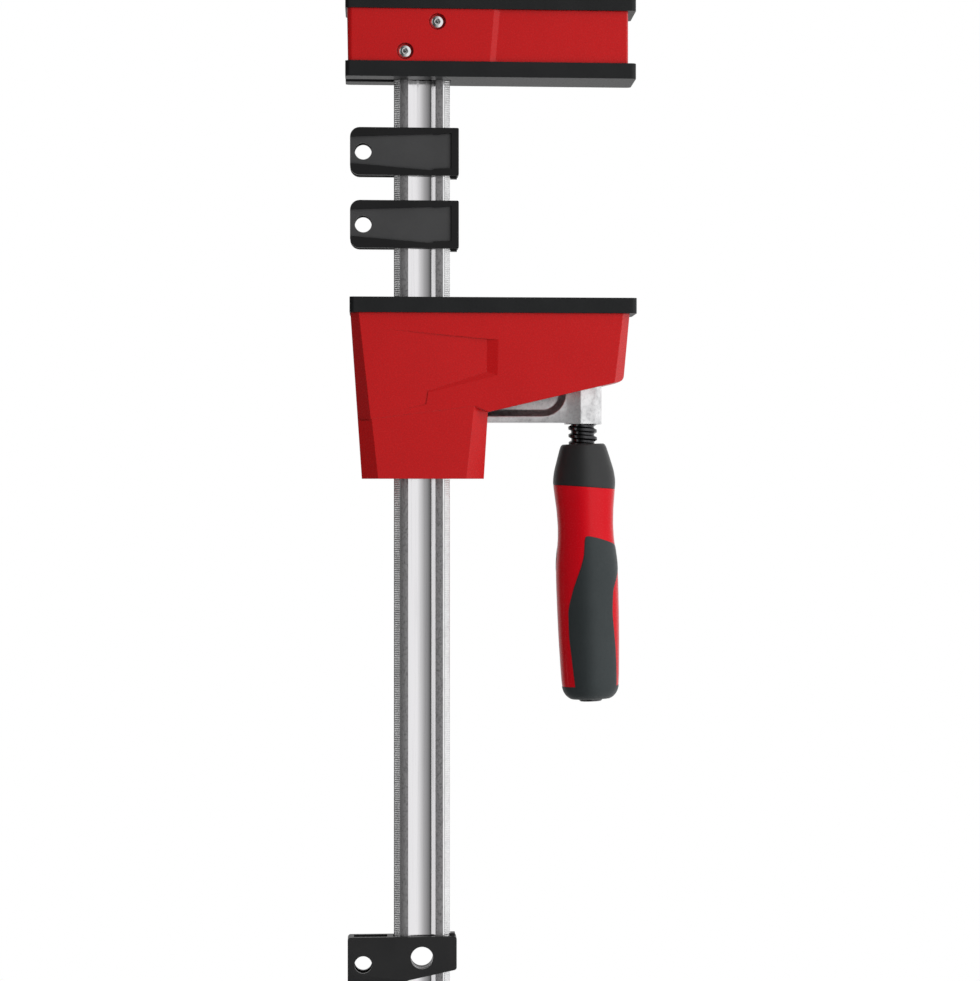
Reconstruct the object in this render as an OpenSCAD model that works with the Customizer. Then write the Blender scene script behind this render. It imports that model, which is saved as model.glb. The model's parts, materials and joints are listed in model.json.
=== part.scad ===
// Parallel clamp: a grooved rail carries a fixed head, two bar clips, a jaw that a hand spindle
// pushes through a cast arm, and an end clip. All sizes are millimetres. The origin is the centre
// of the head's clamping face; +X runs to the jaw tips, +Y to the rear and +Z up the rail.

/* [Rail] */
// Width of the rail, along the jaws
rail_w = 29; // [26:0.5:31]
// Thickness of the rail
rail_t = 9; // [8:0.25:10]
// Length of the rail
rail_len = 511; // [480:1:900]
// Width of the groove in each broad face
groove_w = 14.2; // [10:0.2:16]
// Depth of each groove
groove_depth = 1.6; // [0.8:0.1:2]
// Width of the bevel at each long corner
bevel_w = 2.8; // [1:0.1:3]
// Depth of the bevel at each long corner
bevel_d = 1.4; // [0.6:0.1:2]

/* [Pads] */
// Thickness of every jaw pad
pad_t = 8; // [6:0.5:10]
// Width of every jaw pad, front to rear
pad_w = 42; // [41:0.5:46]
// Corner radius of a pad, seen along the rail
pad_r = 2.5; // [1:0.5:5]
// Width of the slot that lets a pad slide off past the rail
pad_slot_w = 11; // [10.5:0.1:13]
// Diameter of a pad's pegs
peg_d = 3.9; // [3:0.1:4.4]
// Length of a pad's pegs
peg_len = 5.5; // [4:0.5:6.5]

/* [Fixed head] */
// Distance from the rail's axis to the back end of the head's pads
head_back = 39.6; // [39:0.2:46]
// Distance from the rail's axis to the tip of the head's pads
head_reach = 110.6; // [104:0.2:118]
// Height of the red housing between the two pads
housing_h = 27.2; // [25:0.2:32]
// Width of the housing, front to rear
housing_w = 38; // [37:0.2:40]
// Wall of the housing
housing_wall = 2.8; // [2.4:0.1:3.4]
// How far the housing's root half stands proud of its tip half
housing_step = 0.8; // [0.4:0.1:1]
// Distance from the rail's axis to the middle of that step
step_x = 37.4; // [30:0.5:40]
// Lean of the step from upright, in degrees
step_lean = 4.8; // [0:0.2:10]
// Thickness of the steel that the head's channel is bent from
head_steel_t = 3.5; // [3:0.1:4]
// Diameter of the head screws
screw_d = 4; // [3:0.5:5]
// Diameter of a screw's button head
screw_head_d = 7.6; // [7:0.1:8.4]
// Height of a button head
screw_head_h = 2.2; // [1.6:0.1:2.6]
// Hexagon socket of the head screws, across flats
screw_hex = 2.5; // [2:0.1:3]
// Distance from the rail's axis to the upper screw
screw_upper_x = 7.8; // [5:0.2:9]
// Distance from the rail's axis to the lower screw
screw_lower_x = -8.8; // [-9.4:0.2:-6]
// Height of the upper screw above the clamping face
screw_upper_z = 28.6; // [26:0.1:29]
// Height of the lower screw above the clamping face
screw_lower_z = 13.2; // [13:0.1:16]

/* [Bar clips] */
// Height of a bar clip along the rail
clip_h = 24.8; // [22:0.2:26]
// Depth of a bar clip, front to rear
clip_w = 15; // [14:0.1:17]
// Distance from the rail's axis to the clip's open end
clip_back = 37.2; // [36.6:0.1:42]
// Thickness of the clip's closed end
clip_web = 4.3; // [2:0.1:5]
// Depth of the recess in each broad face of the clip
clip_recess = 1.1; // [0.6:0.1:1.4]
// Diameter of the clip's finger hole
clip_hole_d = 8.7; // [7:0.1:9.5]
// Distance from the rail's axis to the finger hole
clip_hole_x = 30.4; // [29:0.1:31.4]
// Height of the stop nub under a clip
nub_h = 1.3; // [0.5:0.1:2]
// Gap between the head's clamping face and the upper clip
upper_clip_gap = 25; // [10:0.5:40]
// Gap between the two clips
lower_clip_gap = 13; // [8:0.5:25]
// Gap between the lower clip and the moving jaw's face
jaw_gap = 26; // [20:0.5:40]

/* [End clip] */
// How far the end clip reaches up from the rail's lower end
end_clip_grip = 30.6; // [30:0.2:40]
// Depth of the end clip, front to rear
end_clip_w = 15.5; // [15:0.1:18]
// Distance from the rail's axis to the end clip's back end
end_clip_back = 38.4; // [38:0.2:44]
// Height of the end clip's short side
end_clip_short = 17.2; // [17:0.2:20]
// Height of the end clip's long side
end_clip_long = 28; // [26:0.2:30]
// Thickness of the end clip's side walls
end_clip_wall = 3.2; // [2.4:0.1:3.2]
// Diameter of the bolt hole through the end clip and the rail
bolt_hole_d = 11.6; // [8:0.1:12]
// Depth of the bolt hole below the end clip's top
bolt_hole_drop = 11; // [9:0.1:12]
// Diameter of the small hole in the end clip's tab
tab_hole_d = 9; // [6:0.1:10]
// Distance from the rail's axis to the small hole
tab_hole_x = 30.4; // [28:0.1:32]
// Depth of the small hole below the end clip's top
tab_hole_drop = 14.2; // [12:0.1:16]

/* [Moving jaw] */
// Distance from the rail's axis to the back end of the jaw's pad
jaw_back = 37.4; // [37:0.2:44]
// Distance from the rail's axis to the tip of the jaw's pad
jaw_reach = 111; // [108:0.2:118]
// Height of the red cover under the pad
cover_h = 85.8; // [85:0.2:96]
// Width of the cover, front to rear
cover_w = 39; // [38.4:0.2:40]
// Wall of the cover
cover_wall = 2.8; // [2:0.1:3]
// Step in from the pad to the cover at the back
cover_step_back = 0.4; // [0.2:0.1:1.4]
// Step in from the pad to the cover at the tip
cover_step_tip = 3.4; // [2:0.1:5]
// Height of the cover at its tip
nose_h = 34.6; // [32:0.2:38]
// How far the tip leans in over that height
nose_lean = 3.1; // [1:0.1:4]
// Radius of the lower corner of the tip
nose_r = 3.5; // [1:0.1:5]
// Height of the cover where the beam meets the neck
root_h = 51.3; // [50:0.2:53]
// Distance from the rail's axis to the front corner of the neck
neck_x = 34; // [32:0.2:35]
// How far the neck's front leans in down to its lower end
neck_lean = 2; // [1:0.1:3]
// How far the back of the cover leans in over its height
back_lean = 5.9; // [3:0.1:6]
// Taper of the neck's broad faces down to its lower end
neck_taper = 1.5; // [0.5:0.1:2]
// Depth of the facets along the cover's corners
facet_d = 5.5; // [3:0.1:6]
// Depth of the arrow-shaped relief in the broad faces
relief_d = 1.1; // [0.5:0.1:1.4]
// Thickness of the steel that the jaw's channel is bent from
jaw_steel_t = 3; // [2.6:0.1:3.2]
// Width inside the jaw's channel
channel_in = 23.2; // [22.8:0.1:23.6]
// Height of a rail guide
guide_h = 12.8; // [10:0.1:13]
// Diameter of the guide rivets
rivet_d = 4; // [3:0.1:4.4]

/* [Arm] */
// Width of the arm's collar, front to rear
collar_w = 21; // [19:0.2:22]
// Width of the arm's flanges, front to rear
arm_w = 18; // [14:0.2:19]
// Thickness of the arm's web
arm_web = 7; // [5:0.2:9]
// Thickness of the arm's lower flange
flange_t = 3.1; // [2.6:0.1:5]
// Height of the arm's collar along the rail
collar_h = 30.4; // [26:0.2:31]
// Depth of the arm's underside below the moving pad's face
arm_drop = 64.4; // [64:0.1:66]
// How far the boss hangs below the arm's underside
boss_drop = 0.8; // [0:0.1:1.4]
// Width of the spindle boss, from its centre to its tip side
boss_r = 9.85; // [9.4:0.05:10.5]
// Diameter of the grip pins
grip_pin_d = 5; // [4:0.1:5.6]

/* [Spindle] */
// Diameter over the thread
thread_d = 15.1; // [14:0.1:15.5]
// Diameter of the thread's core
core_d = 12.2; // [11:0.1:13]
// Pitch of the thread
pitch = 4; // [3:0.5:5]
// Distance from the moving jaw's tip back to the spindle, under the boss
spindle_inset = 27.2; // [24:0.2:30]
// Lean of the spindle from the rail, in degrees
spindle_lean = 1.75; // [0:0.05:2]
// Thread in sight between the boss and the handle at rest
thread_shown = 10.4; // [10:0.1:14]
// Travel of the jaw ahead of its rest place
travel_ahead = 9; // [4:0.5:9]
// Travel of the jaw behind its rest place
travel_behind = 8; // [4:0.5:8]
// Diameter of the spindle's tip
tip_d = 9.1; // [8:0.1:9.5]

/* [Handle] */
// Length of the handle
handle_len = 133.4; // [120:0.2:150]
// Largest radius of the handle
handle_r = 16.7; // [15:0.1:18]
// How much the handle's six sides are drawn in, as a share of its radius
side_share = 0.024; // [0:0.002:0.027]
// How far the collar's lower edge leans down on the tip side and up on the other
collar_slant = 1.6; // [0:0.1:2]
// Thickness of the black panels
panel_t = 2; // [1.5:0.1:3]
// How far the spindle stands out of the handle's end
tail_out = 1.2; // [0.5:0.1:3]
// Hexagon socket in the spindle's end, across flats
tail_hex = 6; // [5:0.5:8]

/* [Hidden] */
$fn = 48;

// Overrun of every cut past the face that it opens
over = 1;
// Room that holds a still piece clear of its neighbour
seat = 0.1;
// Running room round the rail, each side
rail_room = 0.3;
// Running room of a turning fit, on the radius
turn_room = 0.05;
// Length far past the whole part, for plane cuts
far = 300;

// Distance from the rail's axis to the spindle, under the boss
spindle_x = jaw_reach - spindle_inset;

rail_top = pad_t + housing_h - seat;
rail_bottom = rail_top - rail_len;
half_rail = rail_w / 2;
half_t = rail_t / 2;
groove_r = (pow(groove_w / 2, 2) + pow(groove_depth, 2)) / (2 * groove_depth);

upper_clip_z = -upper_clip_gap;
lower_clip_z = upper_clip_z - clip_h - lower_clip_gap;
jaw_z = lower_clip_z - clip_h - jaw_gap;
end_clip_z = rail_bottom + end_clip_grip;
bolt_hole_z = end_clip_z - bolt_hole_drop;

// Shift from the rail's axis to the centre of the head's clamping face
origin_shift = (head_reach - head_back) / 2;

RED = [0.75, 0.11, 0.12];
BLACK = [0.12, 0.12, 0.13];
STEEL = [0.72, 0.73, 0.75];
ZINC = [0.62, 0.63, 0.65];

// Geometry helpers

function unit(v) = v / norm(v);

// Points of the arc that rounds corner b, between its neighbours a and c, to radius r
function corner(a, b, c, r, steps) =
    r <= 0 ? [b] :
    let (u = unit(a - b), v = unit(c - b), half = acos(u * v) / 2,
         m = b + unit(u + v) * r / sin(half),
         p = b + u * r / tan(half) - m, q = b + v * r / tan(half) - m,
         from = atan2(p.y, p.x), turn = atan2(q.y, q.x) - from,
         sweep = turn > 180 ? turn - 360 : turn < -180 ? turn + 360 : turn)
    [for (i = [0 : steps]) m + r * [cos(from + sweep * i / steps), sin(from + sweep * i / steps)]];

// An outline of points with each corner rounded to its own radius
function rounded(points, radii, steps = 6) =
    let (n = len(points))
    [for (i = [0 : n - 1])
        each corner(points[(i + n - 1) % n], points[i], points[(i + 1) % n], radii[i], steps)];

// A rectangle from low to high with four equal round corners
function round_box(low, high, r) =
    rounded([low, [high.x, low.y], high, [low.x, high.y]], [r, r, r, r]);

// An outline drawn in X and Z, thickened to half_w each side of the middle plane
module side_plate(points, half_w) {
    rotate([90, 0, 0]) linear_extrude(2 * half_w, center = true) polygon(points);
}

// A box between two corners
module box(low, high) {
    translate(low) cube(high - low);
}

// A rod along Y from y0 to y1
module cross_rod(x, z, d, y0, y1) {
    translate([x, y1, z]) rotate([90, 0, 0]) cylinder(h = y1 - y0, d = d);
}

// Everything on the outer side of the plane through a, b and c, where outwards is toward -Y
module outside(a, b, c, inset = 0) {
    raw = cross(b - a, c - a);
    n = unit(raw.y > 0 ? -raw : raw);
    translate(a - n * inset)
        rotate([0, acos(n.z), atan2(n.y, n.x)])
            translate([-far, -far, 0]) cube([2 * far, 2 * far, far]);
}

// The same on the front and, mirrored, on the rear
module outside_both(a, b, c, inset = 0) {
    outside(a, b, c, inset);
    mirror([0, 1, 0]) outside(a, b, c, inset);
}

// The whole part is drawn about the rail's axis and set on the origin here
module placed() {
    translate([-origin_shift, 0, 0]) children();
}

// Rail

module rail_section() {
    difference() {
        polygon([
            for (sx = [1, -1], k = [0 : 3])
                let (p = [[half_rail, -half_t + bevel_d], [half_rail, half_t - bevel_d],
                          [half_rail - bevel_w, half_t], [-half_rail + bevel_w, half_t]][k])
                k == 3 ? sx * [-half_rail + bevel_w, half_t] : sx * p
        ]);
        for (s = [1, -1]) translate([0, s * (half_t - groove_depth + groove_r)]) circle(groove_r);
    }
}

module rail() {
    color(ZINC) placed() difference() {
        translate([0, 0, rail_bottom]) linear_extrude(rail_len) rail_section();
        for (p = [[screw_upper_x, screw_upper_z], [screw_lower_x, screw_lower_z]])
            cross_rod(p.x, p.y, screw_d + 2 * seat, -half_t - over, half_t + over);
        cross_rod(0, bolt_hole_z, bolt_hole_d, -half_t - over, half_t + over);
    }
}

// Pads

// Rows of peg places along a pad: distance from the rail's axis, then distance from the middle
head_peg_y = housing_w / 2 - housing_wall - peg_d / 2 - 1.6 * seat;
head_pegs = [[-head_back * 0.74, head_peg_y], [head_reach * 0.41, head_peg_y],
             [head_reach * 0.84, head_peg_y]];
jaw_peg_y = channel_in / 2 - peg_d;
jaw_pegs = [[-jaw_back * 0.5, jaw_peg_y], [jaw_reach * 0.24, jaw_peg_y], [jaw_reach * 0.56, jaw_peg_y]];

// A pad from z0 up to z0 + pad_t, its pegs standing on the side that peg_up says
module pad(x0, x1, z0, pegs, peg_up) {
    peg_z = peg_up ? z0 + pad_t - over : z0 - peg_len;
    difference() {
        union() {
            translate([0, 0, z0])
                linear_extrude(pad_t) polygon(round_box([x0, -pad_w / 2], [x1, pad_w / 2], pad_r));
            for (p = pegs, s = [1, -1])
                translate([p.x, s * p.y, peg_z]) cylinder(h = peg_len + over, d = peg_d);
        }
        box([x0 - over, -pad_slot_w / 2, z0 - over],
            [half_rail + rail_room + seat, pad_slot_w / 2, z0 + pad_t + over]);
    }
}

module head_clamping_pad() {
    color(BLACK) placed() pad(-head_back, head_reach, 0, head_pegs, true);
}

module head_back_pad() {
    z0 = pad_t + housing_h;
    color(BLACK) placed() union() {
        translate([0, 0, z0])
            linear_extrude(pad_t)
                polygon(round_box([-head_back, -pad_w / 2], [head_reach, pad_w / 2], pad_r));
        for (p = head_pegs, s = [1, -1])
            translate([p.x, s * p.y, z0 - peg_len]) cylinder(h = peg_len + over, d = peg_d);
    }
}

module jaw_pad() {
    color(BLACK) placed() pad(-jaw_back, jaw_reach, jaw_z - pad_t, jaw_pegs, false);
}

// Fixed head

head_leg_out = half_t + head_steel_t;
housing_back = head_back - 1.4;
housing_tip = head_reach - 4;
housing_lean = 0.5;
housing_r = 3;
housing_top = pad_t + housing_h;

module head_channel() {
    web_top = pad_t + head_steel_t;
    color(STEEL) placed() difference() {
        box([-housing_back + housing_wall + over, -head_leg_out, pad_t],
            [housing_tip - housing_wall - over, head_leg_out, housing_top - over]);
        box([-head_back, -half_t, web_top], [head_reach, half_t, housing_top + over]);
        box([-head_back, -half_t, 0], [half_rail + seat, half_t, housing_top]);
        for (p = [[screw_upper_x, screw_upper_z], [screw_lower_x, screw_lower_z]])
            cross_rod(p.x, p.y, screw_d + 2 * seat, -head_leg_out - over, 0);
        for (p = [[screw_upper_x, screw_upper_z], [screw_lower_x, screw_lower_z]])
            cross_rod(p.x, p.y, sleeve_d + 2 * seat, 0, head_leg_out + over);
    }
}

// Front and rear faces of the housing at its proud root half
housing_face = housing_w / 2 + housing_step;
sleeve_d = screw_d + 2;
sink_d = screw_head_d + 0.9;
sink_h = screw_head_h + 0.2;
step_face_w = 2.9;

module housing_step_cut() {
    translate([step_x, 0, pad_t + housing_h / 2]) rotate([0, step_lean, 0])
        linear_extrude(2 * housing_h, center = true) polygon([
            [-step_face_w / 2, -housing_face], [step_face_w / 2, -housing_w / 2],
            [far, -housing_w / 2], [far, -housing_face - over], [-step_face_w / 2, -housing_face - over]
        ]);
}

module head_housing() {
    inner = housing_w / 2 - housing_wall;
    boss_d = peg_d + 2 * seat + 3.6;
    color(RED) placed() difference() {
        union() {
            difference() {
                intersection() {
                    side_plate([[-housing_back, pad_t], [housing_tip, pad_t], [housing_tip, housing_top],
                                [-housing_back - housing_lean, housing_top]], housing_face);
                    linear_extrude(2 * housing_top) polygon(round_box(
                        [-housing_back - housing_lean, -housing_face],
                        [housing_tip, housing_face], housing_r));
                }
                housing_step_cut();
                mirror([0, 1, 0]) housing_step_cut();
                box([-housing_back + housing_wall, -inner, pad_t - over],
                    [housing_tip - housing_wall, inner, housing_top + over]);
            }
            for (p = head_pegs, s = [1, -1])
                translate([p.x, s * p.y, pad_t]) cylinder(h = housing_h, d = boss_d);
            for (p = head_pegs, s = [1, -1])
                translate([p.x, s * (head_leg_out + inner) / 2, housing_top - housing_h / 2])
                    cube([housing_wall, inner - head_leg_out, housing_h - 2 * peg_len], center = true);
            for (p = [[screw_upper_x, screw_upper_z], [screw_lower_x, screw_lower_z]], s = [0, 1])
                mirror([0, s, 0]) cross_rod(p.x, p.y, sink_d + 2 * over, -housing_w / 2, -head_leg_out);
        }
        for (p = head_pegs, s = [1, -1])
            translate([p.x, s * p.y, pad_t - over]) cylinder(h = housing_h + 2 * over, d = peg_d + 2 * seat);
        for (p = [[screw_upper_x, screw_upper_z], [screw_lower_x, screw_lower_z]]) {
            cross_rod(p.x, p.y, screw_d + 2 * seat, -housing_face - over, 0);
            cross_rod(p.x, p.y, sleeve_d + 2 * seat, 0, housing_face + over);
            cross_rod(p.x, p.y, sink_d, -housing_face - over, -housing_face + sink_h);
            cross_rod(p.x, p.y, sink_d, housing_face - sink_h, housing_face + over);
        }
        box([-housing_back, -head_leg_out, pad_t - over],
            [housing_tip - housing_wall, head_leg_out, housing_top + over]);
    }
}

// A button head on a shank, pointing to +Y from its seat at y = 0
module button_screw(shank_d, shank_len) {
    dome = (pow(screw_head_d / 2, 2) + pow(screw_head_h, 2)) / (2 * screw_head_h);
    rotate([-90, 0, 0]) difference() {
        union() {
            intersection() {
                translate([0, 0, dome - screw_head_h]) sphere(r = dome);
                translate([0, 0, -screw_head_h]) cylinder(h = screw_head_h, d = screw_head_d);
            }
            translate([0, 0, -seat]) cylinder(h = shank_len + seat, d = shank_d);
        }
        translate([0, 0, -screw_head_h - over])
            cylinder(h = over + screw_head_h * 0.7, d = screw_hex / cos(30), $fn = 6);
    }
}

module head_screws() {
    color(STEEL) placed() for (p = [[screw_upper_x, screw_upper_z], [screw_lower_x, screw_lower_z]])
        translate([p.x, -housing_face + sink_h, p.y])
            button_screw(screw_d, housing_face - sink_h + head_leg_out);
}

module head_sleeve_nuts() {
    color(STEEL) placed() for (p = [[screw_upper_x, screw_upper_z], [screw_lower_x, screw_lower_z]])
        difference() {
            translate([p.x, housing_face - sink_h, p.y])
                rotate([0, 0, 180]) button_screw(sleeve_d, housing_face - sink_h - half_t - seat);
            cross_rod(p.x, p.y, screw_d + 2 * turn_room, 0, head_leg_out + over);
        }
}

// Bar clips

clip_tip = half_rail + rail_room + clip_web;
clip_corner = 5;
clip_edge = 0.8;

module bar_clip(z) {
    // Shares of the clip's length and height at the corners of the recessed floor
    floor_shares = [[0, -0.20], [0.76, -0.135], [0.775, -0.15], [0.93, -0.115],
                    [0.93, -0.845], [0.775, -0.86], [0.75, -0.895], [0, -0.75]];
    length = clip_back + clip_tip;
    face = clip_w / 2;
    color(BLACK) placed() translate([0, 0, z]) difference() {
        union() {
            side_plate(rounded([[-clip_back, 0], [clip_tip, 0], [clip_tip, -clip_h], [-clip_back, -clip_h]],
                               [clip_corner, clip_edge, clip_edge, clip_corner]), face);
            box([half_rail + rail_room, -face / 3, -clip_h - nub_h],
                [half_rail + rail_room + clip_web * 0.8, face / 3, -clip_h + over]);
        }
        box([-clip_back - over, -half_t - rail_room, -clip_h - over],
            [half_rail + rail_room, half_t + rail_room, over]);
        for (s = [0, 1]) mirror([0, s, 0]) translate([0, -face, 0])
            side_plate([for (f = floor_shares)
                           [-clip_back + f.x * length - (f.x == 0 ? over : 0), f.y * clip_h]], clip_recess);
        cross_rod(-clip_hole_x, -clip_h / 2, clip_hole_d, -face - over, face + over);
    }
}

module upper_bar_clip() {
    bar_clip(upper_clip_z);
}

module lower_bar_clip() {
    bar_clip(lower_clip_z);
}

// End clip

end_clip_tip = half_rail + rail_room + end_clip_wall;
end_clip_slope_x = -7.8;
end_clip_knee = end_clip_short + (end_clip_tip - end_clip_slope_x) * 0.213;
end_clip_bevel = 19;
end_clip_r = 1.5;

module end_clip() {
    face = end_clip_w / 2;
    color(BLACK) placed() translate([0, 0, end_clip_z]) difference() {
        union() {
            side_plate(rounded(
                [[-end_clip_back, 0], [end_clip_tip, 0], [end_clip_tip, -end_clip_short],
                 [end_clip_slope_x, -end_clip_knee], [-end_clip_back, -end_clip_long]],
                [end_clip_r, end_clip_r, end_clip_r, 2 * end_clip_r, 2 * end_clip_r]), face);
            box([end_clip_tip - end_clip_wall, -face / 2, -over],
                [end_clip_tip - end_clip_wall / 4, face / 2, nub_h]);
        }
        outside_both([-end_clip_back, -face, -end_clip_bevel], [end_clip_slope_x, -face, -end_clip_knee],
                     [-end_clip_back, -face * 0.55, -end_clip_long]);
        box([-half_rail - rail_room, -half_t - rail_room, -end_clip_long - over],
            [half_rail + rail_room, half_t + rail_room, over + nub_h]);
        box([-end_clip_back + end_clip_wall, -half_t - rail_room, -end_clip_long + 2 * end_clip_wall],
            [-half_rail - rail_room - end_clip_wall, half_t + rail_room, over]);
        cross_rod(0, -bolt_hole_drop, bolt_hole_d, -face - over, face + over);
        cross_rod(-tab_hole_x, -tab_hole_drop, tab_hole_d, -face - over, face + over);
    }
}

// Moving jaw. Heights here are measured down from the pad's pressure face.

cover_y = cover_w / 2;
cover_back = jaw_back - cover_step_back;
cover_tip = jaw_reach - cover_step_tip;
cover_bottom = pad_t + cover_h;
root_z = pad_t + root_h;
nose_z = pad_t + nose_h;
nose_slope = (root_z - nose_z) / (cover_tip - nose_lean - neck_x + nose_r * 0.3);
// Width of the ledge under the beam's lower edge
ledge = 0.15;
facet_top_w = 4.3;
facet_low_w = 6.7;
nose_facet_w = 3.7;
nose_facet_low_w = 4.9;
neck_back_facet_w = 7.2;
neck_back_facet_low_w = 8.2;
neck_facet_w = 7.1;
neck_facet_low_w = 9.3;
apex = [neck_x - neck_facet_w, -(root_z - 3.1)];
crease_z = root_z + 4.6;

function back_x(z) = -cover_back + back_lean * (z - pad_t) / cover_h;
function neck_front_x(z) = neck_x - neck_lean * (z - root_z) / (cover_bottom - root_z);

beam_outline = rounded([
    [back_x(pad_t), -pad_t], [cover_tip, -pad_t],
    [cover_tip - nose_lean, -root_z + nose_slope * (cover_tip - nose_lean - neck_x)],
    [neck_x, -root_z], apex, [back_x(crease_z), -crease_z]
], [0, 0, nose_r, 0, 0, 0]);

neck_outline = [
    [back_x(nose_z), -nose_z], [apex.x, -nose_z], apex, [neck_x, -root_z],
    [neck_front_x(cover_bottom), -cover_bottom], [back_x(cover_bottom), -cover_bottom]
];

// The facets cut off the beam, moved inwards by inset for the inside of the shell
module beam_facets(inset = 0) {
    outside_both([back_x(pad_t) + facet_top_w, -cover_y, -pad_t],
                 [back_x(crease_z) + facet_low_w, -cover_y, -crease_z],
                 [back_x(pad_t), -cover_y + facet_d, -pad_t], inset);
    outside_both([cover_tip - nose_facet_w, -cover_y, -pad_t],
                 [cover_tip - nose_lean - nose_facet_low_w, -cover_y, -nose_z],
                 [cover_tip, -cover_y + facet_d, -pad_t], inset);
}

// The neck's facets start a little inside the beam's lower edge, which leaves a fine ledge there
module neck_facets(depth = 0) {
    inset = depth + ledge;
    low_y = -cover_y + neck_taper;
    outside_both([apex.x, -cover_y, apex.y],
                 [neck_front_x(cover_bottom) - neck_facet_low_w, low_y, -cover_bottom],
                 [neck_x, -cover_y + facet_d * 1.2, -root_z], inset);
    outside_both([back_x(crease_z) + neck_back_facet_w, -cover_y, -crease_z],
                 [back_x(cover_bottom) + neck_back_facet_low_w, low_y, -cover_bottom],
                 [back_x(crease_z), -cover_y + facet_d, -crease_z], inset);
    outside_both([apex.x, -cover_y, apex.y], [back_x(crease_z), -cover_y, -crease_z],
                 [0, low_y, -cover_bottom], inset);
}

// The relief: a shallow plane that sinks toward the tip and ends in a slanted facet like an arrow's back
module relief_cut() {
    // Shares of the neck's distance and the root's height at the relief's corners
    back_shares = [[0.985, -0.42], [1.155, -0.425], [1.14, -0.785], [0.97, -0.75]];
    low_shares = [[0.97, -0.75], [1.14, -0.785], [0.09, -0.965], [0.09, -0.94]];
    plane_shares = [[-0.75, -0.31], [0.273, -0.378], back_shares[0], back_shares[3],
                    low_shares[3], [0.056, -1.08], [-0.75, -1.2]];
    function at(s, y = -cover_y) = [s.x * neck_x, y, s.y * root_h];
    module bounded(shares) {
        translate([0, -cover_y, 0]) side_plate([for (s = shares) [s.x * neck_x, s.y * root_h]], 2 * relief_d);
    }
    intersection() {
        bounded(plane_shares);
        outside(at([-0.6, -0.3]), at([-0.35, -1.05]), at([1, -0.6], -cover_y + relief_d));
    }
    intersection() {
        bounded(back_shares);
        outside(at(back_shares[1]), at(back_shares[2]), at(back_shares[3], -cover_y + relief_d));
    }
    intersection() {
        bounded(low_shares);
        outside(at(low_shares[1]), at(low_shares[2]), at(low_shares[0], -cover_y + relief_d));
    }
}

channel_out = channel_in / 2 + jaw_steel_t;
arm_slot = collar_w / 2 + 0.7;

module jaw_cover() {
    inner = cover_y - cover_wall;
    tall_beam = concat([[back_x(pad_t), cover_wall + over - pad_t], [cover_tip, cover_wall + over - pad_t]],
                       [for (i = [2 : len(beam_outline) - 1]) beam_outline[i]]);
    color(RED) placed() translate([0, 0, jaw_z]) {
        difference() {
            union() {
                difference() {
                    side_plate(beam_outline, cover_y);
                    beam_facets();
                }
                difference() {
                    side_plate(neck_outline, cover_y);
                    neck_facets();
                    intersection() {
                        beam_facets(ledge);
                        box([-far, -far, -crease_z + ledge], [far, far, 0]);
                    }
                }
            }
            difference() {
                rotate([90, 0, 0]) linear_extrude(2 * inner, center = true)
                    offset(delta = -cover_wall) polygon(tall_beam);
                beam_facets(cover_wall);
            }
            difference() {
                rotate([90, 0, 0]) linear_extrude(2 * inner, center = true)
                    offset(delta = -cover_wall) polygon(neck_outline);
                neck_facets(cover_wall);
            }
            difference() {
                box([-channel_back_x, -inner, -crease_z - cover_wall],
                    [apex.x - cover_wall, inner, -nose_z + over]);
                neck_facets(cover_wall);
                beam_facets(cover_wall);
            }
            relief_cut();
            mirror([0, 1, 0]) relief_cut();
            box([apex.x - cover_wall, -arm_slot, -arm_drop - travel_ahead - cover_wall],
                [spindle_x + boss_r + over, arm_slot, -nose_z + pad_t + over]);
            box([-half_rail - 2 * rail_room, -half_t - 2 * rail_room, -cover_bottom - over],
                [half_rail + 2 * rail_room, half_t + 2 * rail_room, -cover_bottom + cover_wall + over]);
        }
        for (x = [jaw_reach * 0.3, jaw_reach * 0.75], s = [1, -1])
            translate([x, s * (channel_out + cover_y - cover_wall / 2) / 2, -pad_t - cover_wall * 2])
                cube([cover_wall, cover_y - cover_wall / 2 - channel_out, cover_wall * 4], center = true);
    }
}

channel_back_x = 24.8;
channel_tip_x = cover_tip - 12;
channel_beam_z = pad_t + nose_h * 0.8;
channel_neck_z = cover_bottom - 6;
guide_half = 23.8;
guide_low_half = 19;
upper_guide_z = pad_t + jaw_steel_t;
lower_guide_z = cover_bottom - cover_wall - guide_h - seat;
rivet_x = 19;
low_rivet_x = 17.7;
rivet_head_h = 0.5;

module jaw_channel() {
    leg = [[-channel_back_x, -pad_t], [channel_tip_x, -pad_t], [channel_tip_x, -channel_beam_z],
           [apex.x - 1.3 * cover_wall, -root_z + 2.4 * cover_wall], [guide_low_half, -channel_neck_z],
           [-guide_low_half - rivet_d / 2, -channel_neck_z], [-channel_back_x, -crease_z]];
    color(STEEL) placed() translate([0, 0, jaw_z]) difference() {
        side_plate(leg, channel_out);
        box([-far, -channel_in / 2, -far], [far, channel_in / 2, -pad_t - jaw_steel_t]);
        box([-far, -pad_slot_w / 2, -pad_t - jaw_steel_t - over],
            [half_rail + rail_room + seat, pad_slot_w / 2, 0]);
        for (p = jaw_pegs, s = [1, -1])
            translate([p.x, s * p.y, -pad_t - jaw_steel_t - over])
                cylinder(h = jaw_steel_t + 2 * over, d = peg_d + 2 * seat);
        rivets_at(rivet_d + 2 * seat, channel_out + over);
    }
}

// The four rivet lines through the guides and the channel's legs
module rivets_at(d, half_len) {
    for (s = [1, -1]) {
        cross_rod(s * rivet_x, -upper_guide_z - guide_h / 2, d, -half_len, half_len);
        cross_rod(s * low_rivet_x, -lower_guide_z - guide_h / 2, d, -half_len, half_len);
    }
}

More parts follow.
